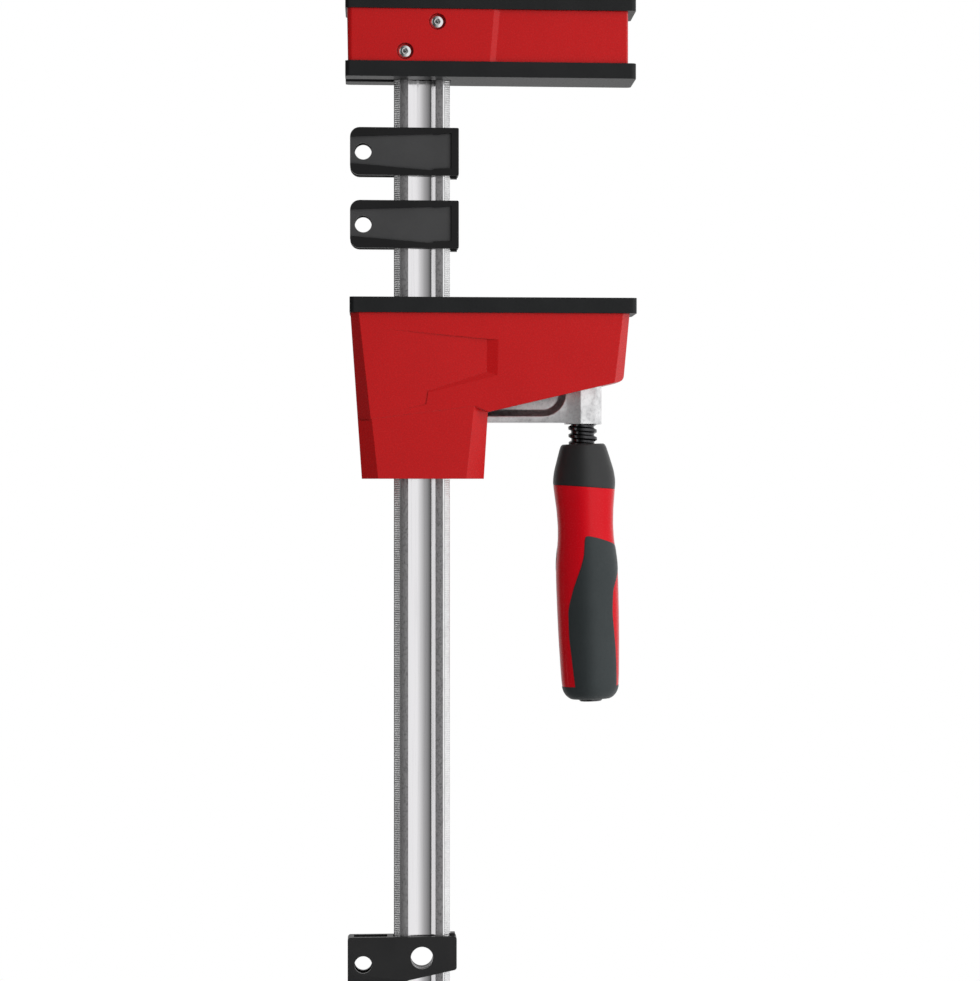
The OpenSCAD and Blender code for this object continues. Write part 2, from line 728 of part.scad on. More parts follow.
module guide_block(half_x, top) {
    difference() {
        box([-half_x, -channel_in / 2 + seat, -top - guide_h], [half_x, channel_in / 2 - seat, -top]);
        box([-half_rail - rail_room, -half_t - rail_room, -top - guide_h - over],
            [half_rail + rail_room, half_t + rail_room, -top + over]);
        rivets_at(rivet_d + 2 * seat, channel_in);
        for (p = jaw_pegs, s = [1, -1])
            translate([p.x, s * p.y, -pad_t - peg_len - over])
                cylinder(h = peg_len + over, d = peg_d + 2 * seat);
    }
}

module upper_rail_guide() {
    color(BLACK) placed() translate([0, 0, jaw_z]) guide_block(guide_half, upper_guide_z);
}

module lower_rail_guide() {
    color(BLACK) placed() translate([0, 0, jaw_z]) guide_block(guide_low_half + 1.6, lower_guide_z);
}

module guide_rivets() {
    head_d = rivet_d + 1.8;
    color(STEEL) placed() translate([0, 0, jaw_z]) {
        rivets_at(rivet_d, channel_out + seat);
        for (s = [0, 1]) mirror([0, s, 0]) intersection() {
            rivets_at(head_d, channel_out + rivet_head_h);
            box([-far, -channel_out - over, -far], [far, -channel_out, 0]);
        }
    }
}

block_low = upper_guide_z + 9;
block_half_x = 10.5;
tip_len = 6;
ring_t = 1.4;
ring_d = tip_d + 4;
ring_rise = 2.6;

// Moves what is drawn about a line along Z onto the leaning spindle, z = 0 at the boss's lower face
module on_spindle() {
    translate([spindle_x, 0, jaw_z - arm_drop - boss_drop]) rotate([0, -spindle_lean, 0]) children();
}

// Height along the spindle of the thrust block's lower face
block_s = (arm_drop + boss_drop - block_low) / cos(spindle_lean);
tip_x = spindle_x - block_s * sin(spindle_lean);

module thrust_block() {
    color(STEEL) placed() difference() {
        translate([0, 0, jaw_z]) box([tip_x - block_half_x, -channel_in / 2 + seat, -block_low],
                                     [tip_x + block_half_x, channel_in / 2 - seat, -upper_guide_z]);
        on_spindle() {
            translate([0, 0, block_s - over]) cylinder(h = tip_len + over + seat, d = tip_d + 2 * turn_room);
            translate([0, 0, block_s + ring_rise - seat])
                cylinder(h = ring_t + 2 * seat, d = ring_d + 2 * seat);
        }
    }
}

module retaining_ring() {
    groove = tip_d - 2;
    color(STEEL) placed() on_spindle() translate([0, 0, block_s + ring_rise]) difference() {
        cylinder(h = ring_t, d = ring_d);
        translate([0, 0, -over]) cylinder(h = ring_t + 2 * over, d = groove + 2 * turn_room);
        translate([0, -groove / 4, -over]) cube([ring_d, groove / 2, ring_t + 2 * over]);
    }
}

// Arm

collar_x = 21.5;
collar_top = arm_drop - collar_h;
collar_r = 3;
boss_top = collar_top + collar_r;
nut_room = 0.3;
nut_d = thread_d + 2 * (nut_room + travel_ahead * sin(spindle_lean));
flange_step = 1;
upper_flange = 7;
pocket_inset = 5.5;
pocket_r = 12;
pocket_small_r = 4;
pocket_draft = 3.4;
// Overlap of the pocket's end with the boss
pocket_over_boss = 0.8;

module arm_pocket() {
    low = [collar_x + pocket_inset, -arm_drop + flange_t];
    high = [spindle_x - boss_r + pocket_over_boss, -collar_top - upper_flange];
    pocket = [low, [high.x, low.y], high, [low.x, high.y]];
    inward = [[1, 1], [-1, 1], [-1, -1], [1, -1]];
    radii = [pocket_small_r, pocket_r, pocket_small_r, pocket_small_r];
    depth = (arm_w - arm_web) / 2;
    hull() {
        translate([0, -arm_w / 2 - seat, 0]) side_plate(rounded(pocket, radii), seat);
        translate([0, -arm_w / 2 + depth - seat, 0])
            side_plate(rounded([for (i = [0 : 3]) pocket[i] + pocket_draft * inward[i]],
                               [for (r = radii) r - pocket_draft]), seat);
    }
}

module sliding_arm() {
    grip_r = grip_pin_d / 2;
    ridge = collar_w / 2 + seat;
    slot_x = half_rail + rail_room;
    color(STEEL) placed() difference() {
        translate([0, 0, jaw_z]) difference() {
            union() {
                side_plate(rounded([[-collar_x, -arm_drop], [collar_x, -arm_drop],
                                    [collar_x, -collar_top], [-collar_x, -collar_top]],
                                   [collar_r, 0, collar_r, collar_r]), collar_w / 2);
                side_plate([[collar_x - over, -arm_drop], [spindle_x, -arm_drop], [spindle_x, -boss_top],
                            [collar_x - over, -collar_top - flange_step]], arm_w / 2);
                translate([spindle_x, 0, -arm_drop - boss_drop])
                    linear_extrude(arm_drop + boss_drop - boss_top) polygon(boss_outline(ridge));
            }
            arm_pocket();
            mirror([0, 1, 0]) arm_pocket();
            box([-slot_x, -half_t - rail_room, -arm_drop - over],
                [slot_x, half_t + rail_room, -collar_top + over]);
            cross_rod(-half_rail - grip_r - turn_room, upper_grip_z,
                      grip_pin_d + 2 * turn_room, -collar_w, collar_w);
            cross_rod(half_rail + grip_r + turn_room, lower_grip_z,
                      grip_pin_d + 2 * turn_room, -collar_w, collar_w);
            box([-half_rail - turn_room - spring_rise - spring_t - seat, -spring_w / 2 - seat,
                 -arm_drop + spring_floor],
                [0, spring_w / 2 + seat, spring_top]);
        }
        on_spindle() translate([0, 0, -over]) cylinder(h = arm_drop, d = nut_d);
    }
}

// The boss seen along the rail: a ridge toward the front, a wide face and a narrow one on the tip side
function boss_outline(ridge) =
    let (half = [[-boss_r + pocket_over_boss + seat, arm_w / 2 - seat], [-boss_r * 0.14, ridge],
                 [boss_r * 0.65, ridge * 0.84], [boss_r, ridge * 0.3]])
    concat([for (p = half) [p.x, -p.y]], [for (i = [3 : -1 : 0]) half[i]]);

upper_grip_z = -collar_top - grip_pin_d * 0.8;
lower_grip_z = -arm_drop + grip_pin_d * 0.8;

module grip_pin(side, z) {
    r = grip_pin_d / 2;
    color(STEEL) placed() translate([0, 0, jaw_z])
        cross_rod(side * (half_rail + r + turn_room), z, grip_pin_d,
                  -collar_w / 2 + seat, collar_w / 2 - seat);
}

module upper_grip_pin() {
    grip_pin(-1, upper_grip_z);
}

module lower_grip_pin() {
    grip_pin(1, lower_grip_z);
}

spring_len = 18;
spring_rise = 2.2;
spring_t = 0.5;
spring_w = 5;
spring_floor = 2;
spring_top = upper_grip_z - grip_pin_d / 2 - 2 * spring_t;
spring_mid = spring_top - spring_len / 2 - 2 * seat;

module friction_spring() {
    r = (pow(spring_len / 2, 2) + pow(spring_rise, 2)) / (2 * spring_rise);
    x = -half_rail - turn_room;
    color(STEEL) placed() translate([0, 0, jaw_z]) intersection() {
        difference() {
            cross_rod(x - r, spring_mid, 2 * r, -spring_w / 2, spring_w / 2);
            cross_rod(x - r, spring_mid, 2 * (r - spring_t), -spring_w, spring_w);
        }
        box([x - spring_rise - spring_t, -spring_w, spring_mid - spring_len / 2],
            [x + over, spring_w, spring_mid + spring_len / 2]);
    }
}

// Spindle

thread_low = -thread_shown - 2;
thread_turns = floor((block_s - 5 - thread_low) / pitch);
steps_per_turn = 20;

// One pitch of the thread's outline: rise as a share of the pitch, then radius
thread_profile = [[0, core_d / 2], [0.22, core_d / 2], [0.42, thread_d / 2], [0.72, thread_d / 2]];

// A right-hand screw thread as one closed solid, its outline wound up the axis
module thread(turns) {
    rows = len(thread_profile);
    n = steps_per_turn;
    count = turns * n;
    function ring(i, j) = thread_profile[j].y * [cos(360 * i / n), sin(360 * i / n), 0]
                          + [0, 0, pitch * (i / n + thread_profile[j].x)];
    function id(i, j) = j == rows ? (i + n) * rows : i * rows + j;
    points = concat([for (i = [0 : count + n], j = [0 : rows - 1]) ring(i, j)],
                    [[0, 0, 0], [0, 0, pitch * (turns + 1)]]);
    low = len(points) - 2;
    walls = [for (i = [0 : count - 1], j = [0 : rows - 1])
        each [[id(i, j), id(i, j + 1), id(i + 1, j + 1)], [id(i, j), id(i + 1, j + 1), id(i + 1, j)]]];
    low_loop = concat([for (i = [0 : n]) id(i, 0)], [for (j = [rows - 1 : -1 : 1]) id(0, j)]);
    high_loop = concat([for (i = [count : count + n]) id(i, 0)],
                       [for (j = [rows - 1 : -1 : 1]) id(count, j)]);
    around = len(low_loop);
    caps = concat([for (k = [0 : around - 1]) [low, low_loop[k], low_loop[(k + 1) % around]]],
                  [for (k = [0 : around - 1]) [low + 1, high_loop[(k + 1) % around], high_loop[k]]]);
    polyhedron(points, concat(walls, caps));
}

module spindle() {
    groove = tip_d - 2;
    tail = -thread_shown - handle_len - tail_out;
    color(BLACK) placed() on_spindle() difference() {
        union() {
            translate([0, 0, thread_low]) thread(thread_turns);
            translate([0, 0, tail]) cylinder(h = thread_low + pitch - tail, d = core_d - seat);
            translate([0, 0, thread_low + pitch * thread_turns]) cylinder(
                h = block_s - 2 * seat - thread_low - pitch * thread_turns, d = core_d - seat);
            cylinder(h = block_s + tip_len - seat, d = groove);
            translate([0, 0, block_s - over]) cylinder(h = ring_rise - seat + over, d = tip_d);
            translate([0, 0, block_s + ring_rise + ring_t + seat])
                cylinder(h = tip_len - ring_rise - ring_t - 2 * seat, d = tip_d);
        }
        translate([0, 0, tail - over]) cylinder(h = over + tail_hex * 1.6, d = tail_hex / cos(30), $fn = 6);
    }
}

// Handle. Depths run down from the top of the collar, as shares of the handle's length.

// Depth, then radius as a share of the largest
profile_shares = [[0, 0.66], [0.012, 0.74], [0.07, 0.88], [0.113, 0.97], [0.148, 1], [0.184, 0.979],
                  [0.26, 0.915], [0.33, 0.893], [0.396, 0.922], [0.466, 0.982], [0.55, 0.998], [0.68, 0.99],
                  [0.83, 0.96], [0.93, 0.925], [0.965, 0.885], [0.985, 0.78], [1, 0.6]];
// Depth, then the two edges of the front black panel in degrees round from the front
panel_shares = [[0.362, -1, 2], [0.372, -4, 22], [0.385, -5, 50], [0.40, -6, 75], [0.435, -8, 94],
                [0.478, -12.5, 86], [0.533, -21, 65], [0.584, -29, 55], [0.662, -38, 53],
                [0.741, -38, 57], [0.827, -36, 61], [0.948, -35, 62]];

collar_share = 0.168;
panel_from_share = panel_shares[0].x;
panel_to_share = 0.948;
sector_points = 6;
// Gap between a black panel's edges and the red wall beside them, in degrees
edge_gap = 1;

function handle_radius(share, angle) =
    handle_r * lookup(share, profile_shares) * (1 + side_share * (cos(6 * angle) - 1) / 2);

// A point of the handle at a depth share, an angle from the front and a radius drawn in by sink
function handle_point(share, angle, sink = 0) =
    let (r = handle_radius(share, angle) - sink)
    [r * sin(angle), -r * cos(angle), -share * handle_len];

function edge_angle(share, k) = lookup(share, [for (row = panel_shares) [row.x, row[k]]]);

// Angles round the handle in four sectors: front panel, red, rear panel, red
function sector_angles(share) =
    let (a = edge_angle(share, 1), b = edge_angle(share, 2), m = sector_points)
    concat([for (i = [0 : m]) a + (b - a) * i / m], [for (i = [0 : m]) b + (180 + a - b) * i / m],
           [for (i = [0 : m]) a + 180 + (b - a) * i / m],
           [for (i = [0 : m]) b + 180 + (180 + a - b) * i / m]);

// Joins rings of points, listed from the top down and turning the same way, into a closed solid
module loft(rings) {
    n = len(rings[0]);
    count = len(rings);
    middle = function (ring) [for (k = [0 : 2]) [for (p = ring) p[k]] * [for (p = ring) 1] / n];
    points = concat([for (ring = rings) each ring], [middle(rings[0]), middle(rings[count - 1])]);
    polyhedron(points, concat(
        [for (i = [0 : count - 2], j = [0 : n - 1])
            each [[i * n + j, (i + 1) * n + (j + 1) % n, (i + 1) * n + j],
                  [i * n + j, i * n + (j + 1) % n, (i + 1) * n + (j + 1) % n]]],
        [for (j = [0 : n - 1]) [count * n, (j + 1) % n, j]],
        [for (j = [0 : n - 1]) [count * n + 1, (count - 1) * n + j, (count - 1) * n + (j + 1) % n]]
    ));
}

// Extra rings where the panels' slanted top edges turn fast round the handle
top_edge_shares = [0.3645, 0.367, 0.3695, 0.375, 0.378, 0.3815, 0.389, 0.393, 0.3965,
                   0.4175, 0.49, 0.503, 0.518];

// Depth shares at which the handle has rings between two of them
function ring_shares(from, to) =
    let (all = concat([for (row = concat(profile_shares, panel_shares)) row.x], top_edge_shares))
    concat([from], [for (x = all) if (x > from && x < to) x], [to]);

function sorted(list) =
    len(list) <= 1 ? list :
    let (p = list[floor(len(list) / 2)])
    concat(sorted([for (v = list) if (v < p) v]), [p], sorted([for (v = list) if (v > p) v]));

plain_points = 36;

// A depth share moved along the collar's slanted lower edge
function slanted(share, angle) = share + collar_slant / handle_len * sin(angle);

module handle_collar() {
    shares = sorted(ring_shares(0, collar_share));
    color(BLACK) placed() on_spindle() translate([0, 0, -thread_shown]) difference() {
        loft([for (s = shares) [for (i = [0 : plain_points - 1])
            let (angle = 360 * i / plain_points)
            handle_point(s == collar_share ? slanted(s, angle) : s, angle)]]);
        translate([0, 0, -handle_len])
            cylinder(h = 2 * handle_len, d = thread_d + 2 * turn_room + 4 * seat);
        translate([0, 0, -2 * handle_len]) cylinder(h = 2 * handle_len - stub_top, d = stub_d + 2 * seat);
    }
}

stub_d = 18;
stub_top = 4;

// The red core: its side sectors at the full radius, its front and rear sectors sunk for the black panels
function core_ring(share, sink, on_slant = false) =
    let (angles = sector_angles(share), m = sector_points + 1)
    [for (i = [0 : 4 * m - 1])
        let (black = floor(i / m) % 2 == 0)
        let (angle = angles[i] + (black ? 0 : (i % m == 0 ? 0.6 : i % m == m - 1 ? -0.6 : 0)))
        handle_point(on_slant ? slanted(share, angle) : share, angle, black ? sink : 0)];

module handle_core() {
    step = 0.0025;
    upper = sorted(ring_shares(collar_share + seat / handle_len, panel_from_share));
    lower = sorted(ring_shares(panel_from_share + step, panel_to_share));
    end = panel_to_share * handle_len;
    color(RED) placed() on_spindle() translate([0, 0, -thread_shown]) difference() {
        union() {
            loft(concat([for (s = upper) core_ring(s, 0, s == upper[0])],
                        [for (s = lower) core_ring(s, panel_t + 4 * seat)]));
            translate([0, 0, -handle_len / 2]) cylinder(h = handle_len / 2 - stub_top - seat, d = stub_d);
            translate([0, 0, -end - stub_top]) cylinder(h = end / 2, d = stub_d);
        }
        translate([0, 0, -handle_len - over]) cylinder(h = handle_len + 2 * over, d = core_d + 2 * seat);
    }
}

// One black panel as a closed band of rings from its pointed top to the end cap
module panel(turn) {
    m = sector_points;
    shares = sorted(ring_shares(panel_from_share + 0.005, panel_to_share - 0.1 * seat / handle_len));
    rotate([0, 0, turn]) loft([for (s = shares)
        let (a = edge_angle(s, 1) + edge_gap, b = edge_angle(s, 2) - edge_gap)
        concat([for (i = [0 : m]) handle_point(s, a + (b - a) * i / m)],
               [for (i = [m : -1 : 0]) handle_point(s, a + (b - a) * i / m, panel_t)])]);
}

module handle_overmould() {
    color(BLACK) placed() on_spindle() translate([0, 0, -thread_shown]) {
        panel(0);
        panel(180);
    }
}

module handle_end_cap() {
    shares = sorted(ring_shares(panel_to_share, 1));
    color(BLACK) placed() on_spindle() translate([0, 0, -thread_shown]) difference() {
        loft([for (s = shares) [for (i = [0 : plain_points - 1]) handle_point(s, 360 * i / plain_points)]]);
        translate([0, 0, -2 * handle_len]) cylinder(h = 3 * handle_len, d = core_d + 2 * seat);
        translate([0, 0, -panel_to_share * handle_len - stub_top - seat])
            cylinder(h = 2 * stub_top, d = stub_d + 2 * seat);
    }
}

rail();
head_channel();
head_housing();
head_clamping_pad();
head_back_pad();
head_screws();
head_sleeve_nuts();
upper_bar_clip();
lower_bar_clip();
end_clip();
sliding_arm();
upper_grip_pin();
lower_grip_pin();
friction_spring();
jaw_cover();
jaw_channel();
jaw_pad();
upper_rail_guide();
lower_rail_guide();
guide_rivets();
thrust_block();
retaining_ring();
spindle();
handle_collar();
handle_core();
handle_overmould();
handle_end_cap();
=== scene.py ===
# %% [markdown]
# # A parallel clamp, dressed for its portrait
#
# The clamp has a grooved steel rail, a fixed head at its top, a moving jaw that a hand spindle
# pushes, two bar clips and an end clip. Its solids, made to size, come from model.glb. This
# lesson gives them their real surfaces: moulded plastic, zinc plated steel, black oxide and a soft
# grip. Each cell does one step, and the cell before it says why the step is done that way.

# %% Load the frame and keep its box
import json
import math

import bmesh
import bpy
import numpy as np
from mathutils import Matrix, Vector


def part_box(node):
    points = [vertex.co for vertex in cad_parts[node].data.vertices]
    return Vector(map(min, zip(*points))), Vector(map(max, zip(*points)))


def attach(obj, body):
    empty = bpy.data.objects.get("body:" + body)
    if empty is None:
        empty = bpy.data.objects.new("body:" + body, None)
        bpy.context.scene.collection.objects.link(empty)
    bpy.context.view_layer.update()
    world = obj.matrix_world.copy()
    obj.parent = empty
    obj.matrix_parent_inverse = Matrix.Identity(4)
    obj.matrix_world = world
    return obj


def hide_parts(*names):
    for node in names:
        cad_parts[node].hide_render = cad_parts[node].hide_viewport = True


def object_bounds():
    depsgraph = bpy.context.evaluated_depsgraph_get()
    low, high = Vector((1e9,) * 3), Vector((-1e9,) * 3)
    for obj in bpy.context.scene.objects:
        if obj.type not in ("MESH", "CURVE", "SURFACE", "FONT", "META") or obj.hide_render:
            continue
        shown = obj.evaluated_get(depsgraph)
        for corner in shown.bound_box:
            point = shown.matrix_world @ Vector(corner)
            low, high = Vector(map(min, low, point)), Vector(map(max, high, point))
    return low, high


MM = 0.001
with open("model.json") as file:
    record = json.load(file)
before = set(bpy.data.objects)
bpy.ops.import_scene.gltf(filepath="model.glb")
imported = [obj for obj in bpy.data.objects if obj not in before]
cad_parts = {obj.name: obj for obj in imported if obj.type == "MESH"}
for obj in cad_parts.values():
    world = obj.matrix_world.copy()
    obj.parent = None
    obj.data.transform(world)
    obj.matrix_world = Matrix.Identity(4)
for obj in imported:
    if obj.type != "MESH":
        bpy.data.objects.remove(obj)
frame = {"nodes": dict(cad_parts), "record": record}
solid_box = [list(map(float, corner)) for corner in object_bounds()]
nodes = frame["nodes"]
print("solids:", len(nodes), "box in mm:", [[round(v / MM) for v in corner] for corner in solid_box])

# %% [markdown]
# ## Where the main pieces are
#
# The rail, the jaws and the spindle carry everything else, so their places are read from the solids
# once and named. The spindle leans a little from the rail. Its joint gives the line that it turns
# about, and one matrix moves anything that is drawn upright onto that line.

# %% Name the places that the later cells share
rail_low, rail_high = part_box("rail")
rail_x = (rail_low[0] + rail_high[0]) / 2
rail_half = (rail_high[0] - rail_low[0]) / 2
rail_half_deep = (rail_high[1] - rail_low[1]) / 2
jaw_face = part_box("jaw_pad")[1][2]
turn = next(j for j in frame["record"]["behaviour"]["joints"] if j["name"] == "spindle_turn")
lean = math.atan2(turn["axis"][0], turn["axis"][2])
on_spindle = Matrix.Translation(turn["pos_m"]) @ Matrix.Rotation(lean, 4, "Y")
print("rail axis and jaw face in mm, spindle's lean in degrees:",
      [round(value, 2) for value in (rail_x / MM, jaw_face / MM, math.degrees(lean))])

# %% [markdown]
# ## The camera
#
# The portrait is taken from far off with a long lens, level with the middle of the clamp. A long
# lens keeps the parallel edges parallel. The lens is shifted sideways on the camera: the camera can
# then stand almost in front of the rail and look past it, so that no end face of the head shows. The
# camera is set first.


# %% Place the camera
def placed(name, data):
    """A new object in the scene."""
    thing = bpy.data.objects.new(name, data)
    bpy.context.scene.collection.objects.link(thing)
    return thing


def aimed(at, towards):
    """Where a camera or a lamp stands that looks from one point to another."""
    facing = (Vector(towards) - Vector(at)).to_track_quat("-Z", "Y").to_matrix().to_4x4()
    return Matrix.Translation(at) @ facing


picture_width, focal_length = 980, 3507.6  # both in pixels of the photograph
eye_height = -0.2135
camera_data = bpy.data.cameras.new("portrait_camera")
camera_data.sensor_fit = "HORIZONTAL"
camera_data.sensor_width = 36
camera_data.lens = camera_data.sensor_width * focal_length / picture_width
camera_data.shift_x = -0.2209
camera = placed("portrait_camera", camera_data)
camera.matrix_world = aimed((rail_x - 0.0243, -1.8348, eye_height), (rail_x + 0.1491, 0, eye_height))
bpy.context.scene.camera = camera
bpy.context.scene.view_settings.view_transform = "Standard"
print("lens in mm:", round(camera_data.lens, 1), "shift:", round(camera_data.shift_x, 3))

# %% [markdown]
# ## The studio
#
# Metal shows what stands round it, so the room matters as much as the lamps. Seen from the clamp, the
# room is white to the right, dims toward the front and is nearly black to the left. Those bands are
# what the rail's groove draws down its length. Plain surfaces get an even light from all sides
# instead. The world's shader tells the two apart with the Light Path node.


# %% Helpers that add nodes
def feed(tree, node, inputs):
    """Gives each named input a plain value, a socket, or the first output of a node."""
    for key, value in inputs.items():
        if isinstance(value, bpy.types.Node):
            value = value.outputs[0]
        if isinstance(value, bpy.types.NodeSocket):
            tree.links.new(value, node.inputs[key])
        else:
            node.inputs[key].default_value = value


def add_node(tree, kind, inputs=None, **settings):
    """Adds a node with its own settings, and feeds its inputs."""
    node = tree.nodes.new(kind)
    for name, value in settings.items():
        setattr(node, name, value)
    feed(tree, node, inputs or {})
    return node


def maths(tree, operation, a, b):
    """One Math node; a and b are sockets or numbers."""
    return add_node(tree, "ShaderNodeMath", {0: a, 1: b}, operation=operation).outputs[0]


def ramp_between(tree, value, low, high, to_low, to_high):
    """Maps a value smoothly from low..high to to_low..to_high."""
    limits = {"From Min": low, "From Max": high, "To Min": to_low, "To Max": to_high}
    return add_node(tree, "ShaderNodeMapRange", {"Value": value, **limits},
                    interpolation_type="SMOOTHSTEP").outputs["Result"]


# %% Build the room
world = bpy.data.worlds.new("studio_room")
bpy.context.scene.world = world
world.use_nodes = True
tree = world.node_tree
tree.nodes.clear()
place = add_node(tree, "ShaderNodeTexCoord")
split = add_node(tree, "ShaderNodeSeparateXYZ", {0: place.outputs["Generated"]})
sideways = maths(tree, "ADD", maths(tree, "MULTIPLY", split.outputs["X"], 0.5), 0.5)
room = add_node(tree, "ShaderNodeValToRGB", {0: sideways})
# how far a direction points to the right, and how bright the room is there
bands = [(-0.45, 0.07), (-0.29, 0.15), (-0.21, 0.28), (0.0, 0.46), (0.16, 0.70), (0.36, 1.0)]
while len(room.color_ramp.elements) < len(bands):
    room.color_ramp.elements.new(0.5)
for element, (side, bright) in zip(room.color_ramp.elements, bands):
    element.position = 0.5 + side / 2
    element.color = (bright, bright, bright, 1)
behind = ramp_between(tree, split.outputs["Y"], 0.35, 0.85, 0.0, 0.62)
seen_in_gloss = maths(tree, "MAXIMUM", room.outputs["Color"], behind)
path = add_node(tree, "ShaderNodeLightPath")
plain_light = 0.35
more_in_gloss = maths(tree, "SUBTRACT", seen_in_gloss, plain_light)
gloss_part = maths(tree, "MULTIPLY", path.outputs["Is Glossy Ray"], more_in_gloss)
lit = maths(tree, "ADD", gloss_part, plain_light)
through = maths(tree, "MAXIMUM", path.outputs["Is Camera Ray"], path.outputs["Is Transmission Ray"])
background = add_node(tree, "ShaderNodeBackground", {
    "Color": (1, 1, 1, 1), "Strength": maths(tree, "MAXIMUM", lit, through)})
add_node(tree, "ShaderNodeOutputWorld", {0: background})
print("room nodes:", len(tree.nodes))

# %% [markdown]
# Two large soft lamps model the forms: the key stands to the right of the camera, and a weak one
# fills from above. They are larger than the clamp is long, because a small lamp would burn a hard
# streak into the satin plastic. Neither shows in a gloss, which is left to the room. A tall card on
# the left does the opposite: it shows only in the gloss of the bare metal, which it gives its second
# bright line. The metal pieces are put in its collection as they are made.


# %% Hang the lamps
def soft_lamp(name, at, towards, size, watts, in_gloss=False):
    """An area lamp, aimed at a point; it shows in a gloss or else on plain surfaces."""
    data = bpy.data.lights.new(name, "AREA")
    data.shape = "RECTANGLE"
    data.size, data.size_y = size
    data.energy = watts
    lamp = placed(name, data)
    lamp.matrix_world = aimed(at, towards)
    lamp.visible_glossy = in_gloss
    lamp.visible_diffuse = not in_gloss
    return lamp


middle = (rail_x + 0.03, 0, -0.22)
soft_lamp("key_lamp", (middle[0] + 0.64, -0.64, -0.12), middle, (0.9, 1.7), 10.0)
soft_lamp("top_lamp", (middle[0] + 0.2, -0.5, 1.3), middle, (1.4, 1.4), 2.0)
left_card = soft_lamp("left_card", (rail_x - 1.03, -0.62, -0.2), (rail_x, 0, -0.2), (0.40, 2.4), 2.4,
                      in_gloss=True)
bare_metal = bpy.data.collections.new("bare_metal")
left_card.light_linking.receiver_collection = bare_metal

# %% [markdown]
# The floor is a pale disc well under the rail's lower end, so that every pose stays above it. To the
# camera it is nearly as white as the room, so that the edge between them doesn't show.


# %% Lay the floor
def mesh_of(bm, name):
    """Writes a bmesh into a new mesh and frees it."""
    mesh = bpy.data.meshes.new(name)
    bm.to_mesh(mesh)
    bm.free()
    return mesh


floor_height, floor_radius = solid_box[0][2] - 90 * MM, 0.62
bm = bmesh.new()
bmesh.ops.create_circle(bm, cap_ends=True, segments=96, radius=floor_radius)
bmesh.ops.translate(bm, vec=(rail_x + 0.03, 0.05, floor_height), verts=bm.verts)
floor = placed("floor", mesh_of(bm, "floor"))
floor.visible_glossy = False  # bright steel mirrors the room down to its lower end
floor_paint = bpy.data.materials.new("pale_floor")
floor_paint.use_nodes = True
tree = floor_paint.node_tree
tree.nodes.clear()
matt = add_node(tree, "ShaderNodeBsdfDiffuse", {"Color": (0.86, 0.86, 0.86, 1)})
glow = add_node(tree, "ShaderNodeEmission", {"Color": (1, 1, 1, 1)})
path = add_node(tree, "ShaderNodeLightPath")
seen = maths(tree, "MAXIMUM", path.outputs["Is Camera Ray"], path.outputs["Is Glossy Ray"])
share = maths(tree, "MULTIPLY", seen, 0.975)  # the rest of the paint takes the clamp's shadow
blend = add_node(tree, "ShaderNodeMixShader", {0: share, 1: matt, 2: glow})
add_node(tree, "ShaderNodeOutputMaterial", {"Surface": blend})
floor.data.materials.append(floor_paint)
print("floor at", round(floor_height / MM, 1), "mm")

# %% [markdown]
# ## Effects that several finishes share
#
# Every finish here needs the same few effects: a fine moulded or cast grain, clouds of slightly
# different tone, and edges that are rubbed a little paler. Each is built once as a shader group with
# named inputs, so that a change in one place reaches every material that uses it.


# %% A helper that starts a shader group
def start_group(name, inputs, outputs):
    """A shader group with float inputs and named outputs; returns it with its two end nodes."""
    group = bpy.data.node_groups.new(name, "ShaderNodeTree")
    for label, value in inputs:
        socket = group.interface.new_socket(label, in_out="INPUT", socket_type="NodeSocketFloat")
        socket.default_value = value
    for label, kind in outputs:
        group.interface.new_socket(label, in_out="OUTPUT", socket_type=kind)
    return group, group.nodes.new("NodeGroupInput"), group.nodes.new("NodeGroupOutput")


def noise_value(tree, place, per_metre, detail, roughness=0.5):
    """The value of one noise texture."""
    return add_node(tree, "ShaderNodeTexNoise", {
        "Vector": place, "Scale": per_metre, "Detail": detail, "Roughness": roughness}).outputs["Fac"]


# %% Group: grain and clouds
def build_grain_group():
    """Grain is a fine height for a Bump node, Clouds and Specks slow and quick changes, 0 to 1."""
    group, start, end = start_group(
        "grain_and_clouds",
        [("Grain per metre", 4000.0), ("Clouds per metre", 60.0), ("Stretch", 1.0)],
        [("Grain", "NodeSocketFloat"), ("Clouds", "NodeSocketFloat"), ("Specks", "NodeSocketFloat")])
    place = add_node(group, "ShaderNodeTexCoord")
    split = add_node(group, "ShaderNodeSeparateXYZ", {0: place.outputs["Object"]})
    along = maths(group, "DIVIDE", split.outputs["Z"], start.outputs["Stretch"])
    joined = add_node(group, "ShaderNodeCombineXYZ", {
        "X": split.outputs["X"], "Y": split.outputs["Y"], "Z": along})
    grain_scale = start.outputs["Grain per metre"]
    clouds = noise_value(group, joined, start.outputs["Clouds per metre"], 4.0, 0.6)
    specks = noise_value(group, joined, maths(group, "MULTIPLY", grain_scale, 0.22), 3.0, 0.7)
    feed(group, end, {"Grain": noise_value(group, joined, grain_scale, 2.0),
                      "Clouds": ramp_between(group, clouds, 0.32, 0.68, 0, 1),
                      "Specks": ramp_between(group, specks, 0.46, 0.66, 0, 1)})
    return group


grain_group = build_grain_group()
print("group:", grain_group.name, "nodes:", len(grain_group.nodes))


# %% [markdown]
# Edges are where a tool shows its use. The Bevel node gives the normal that a rounded edge would
# have. Where that normal turns away from the true one, an edge is near, and the angle between them
# makes the mask. The same normal is also put out, so that even an edge that is sharp in the mesh
# catches a thin light.


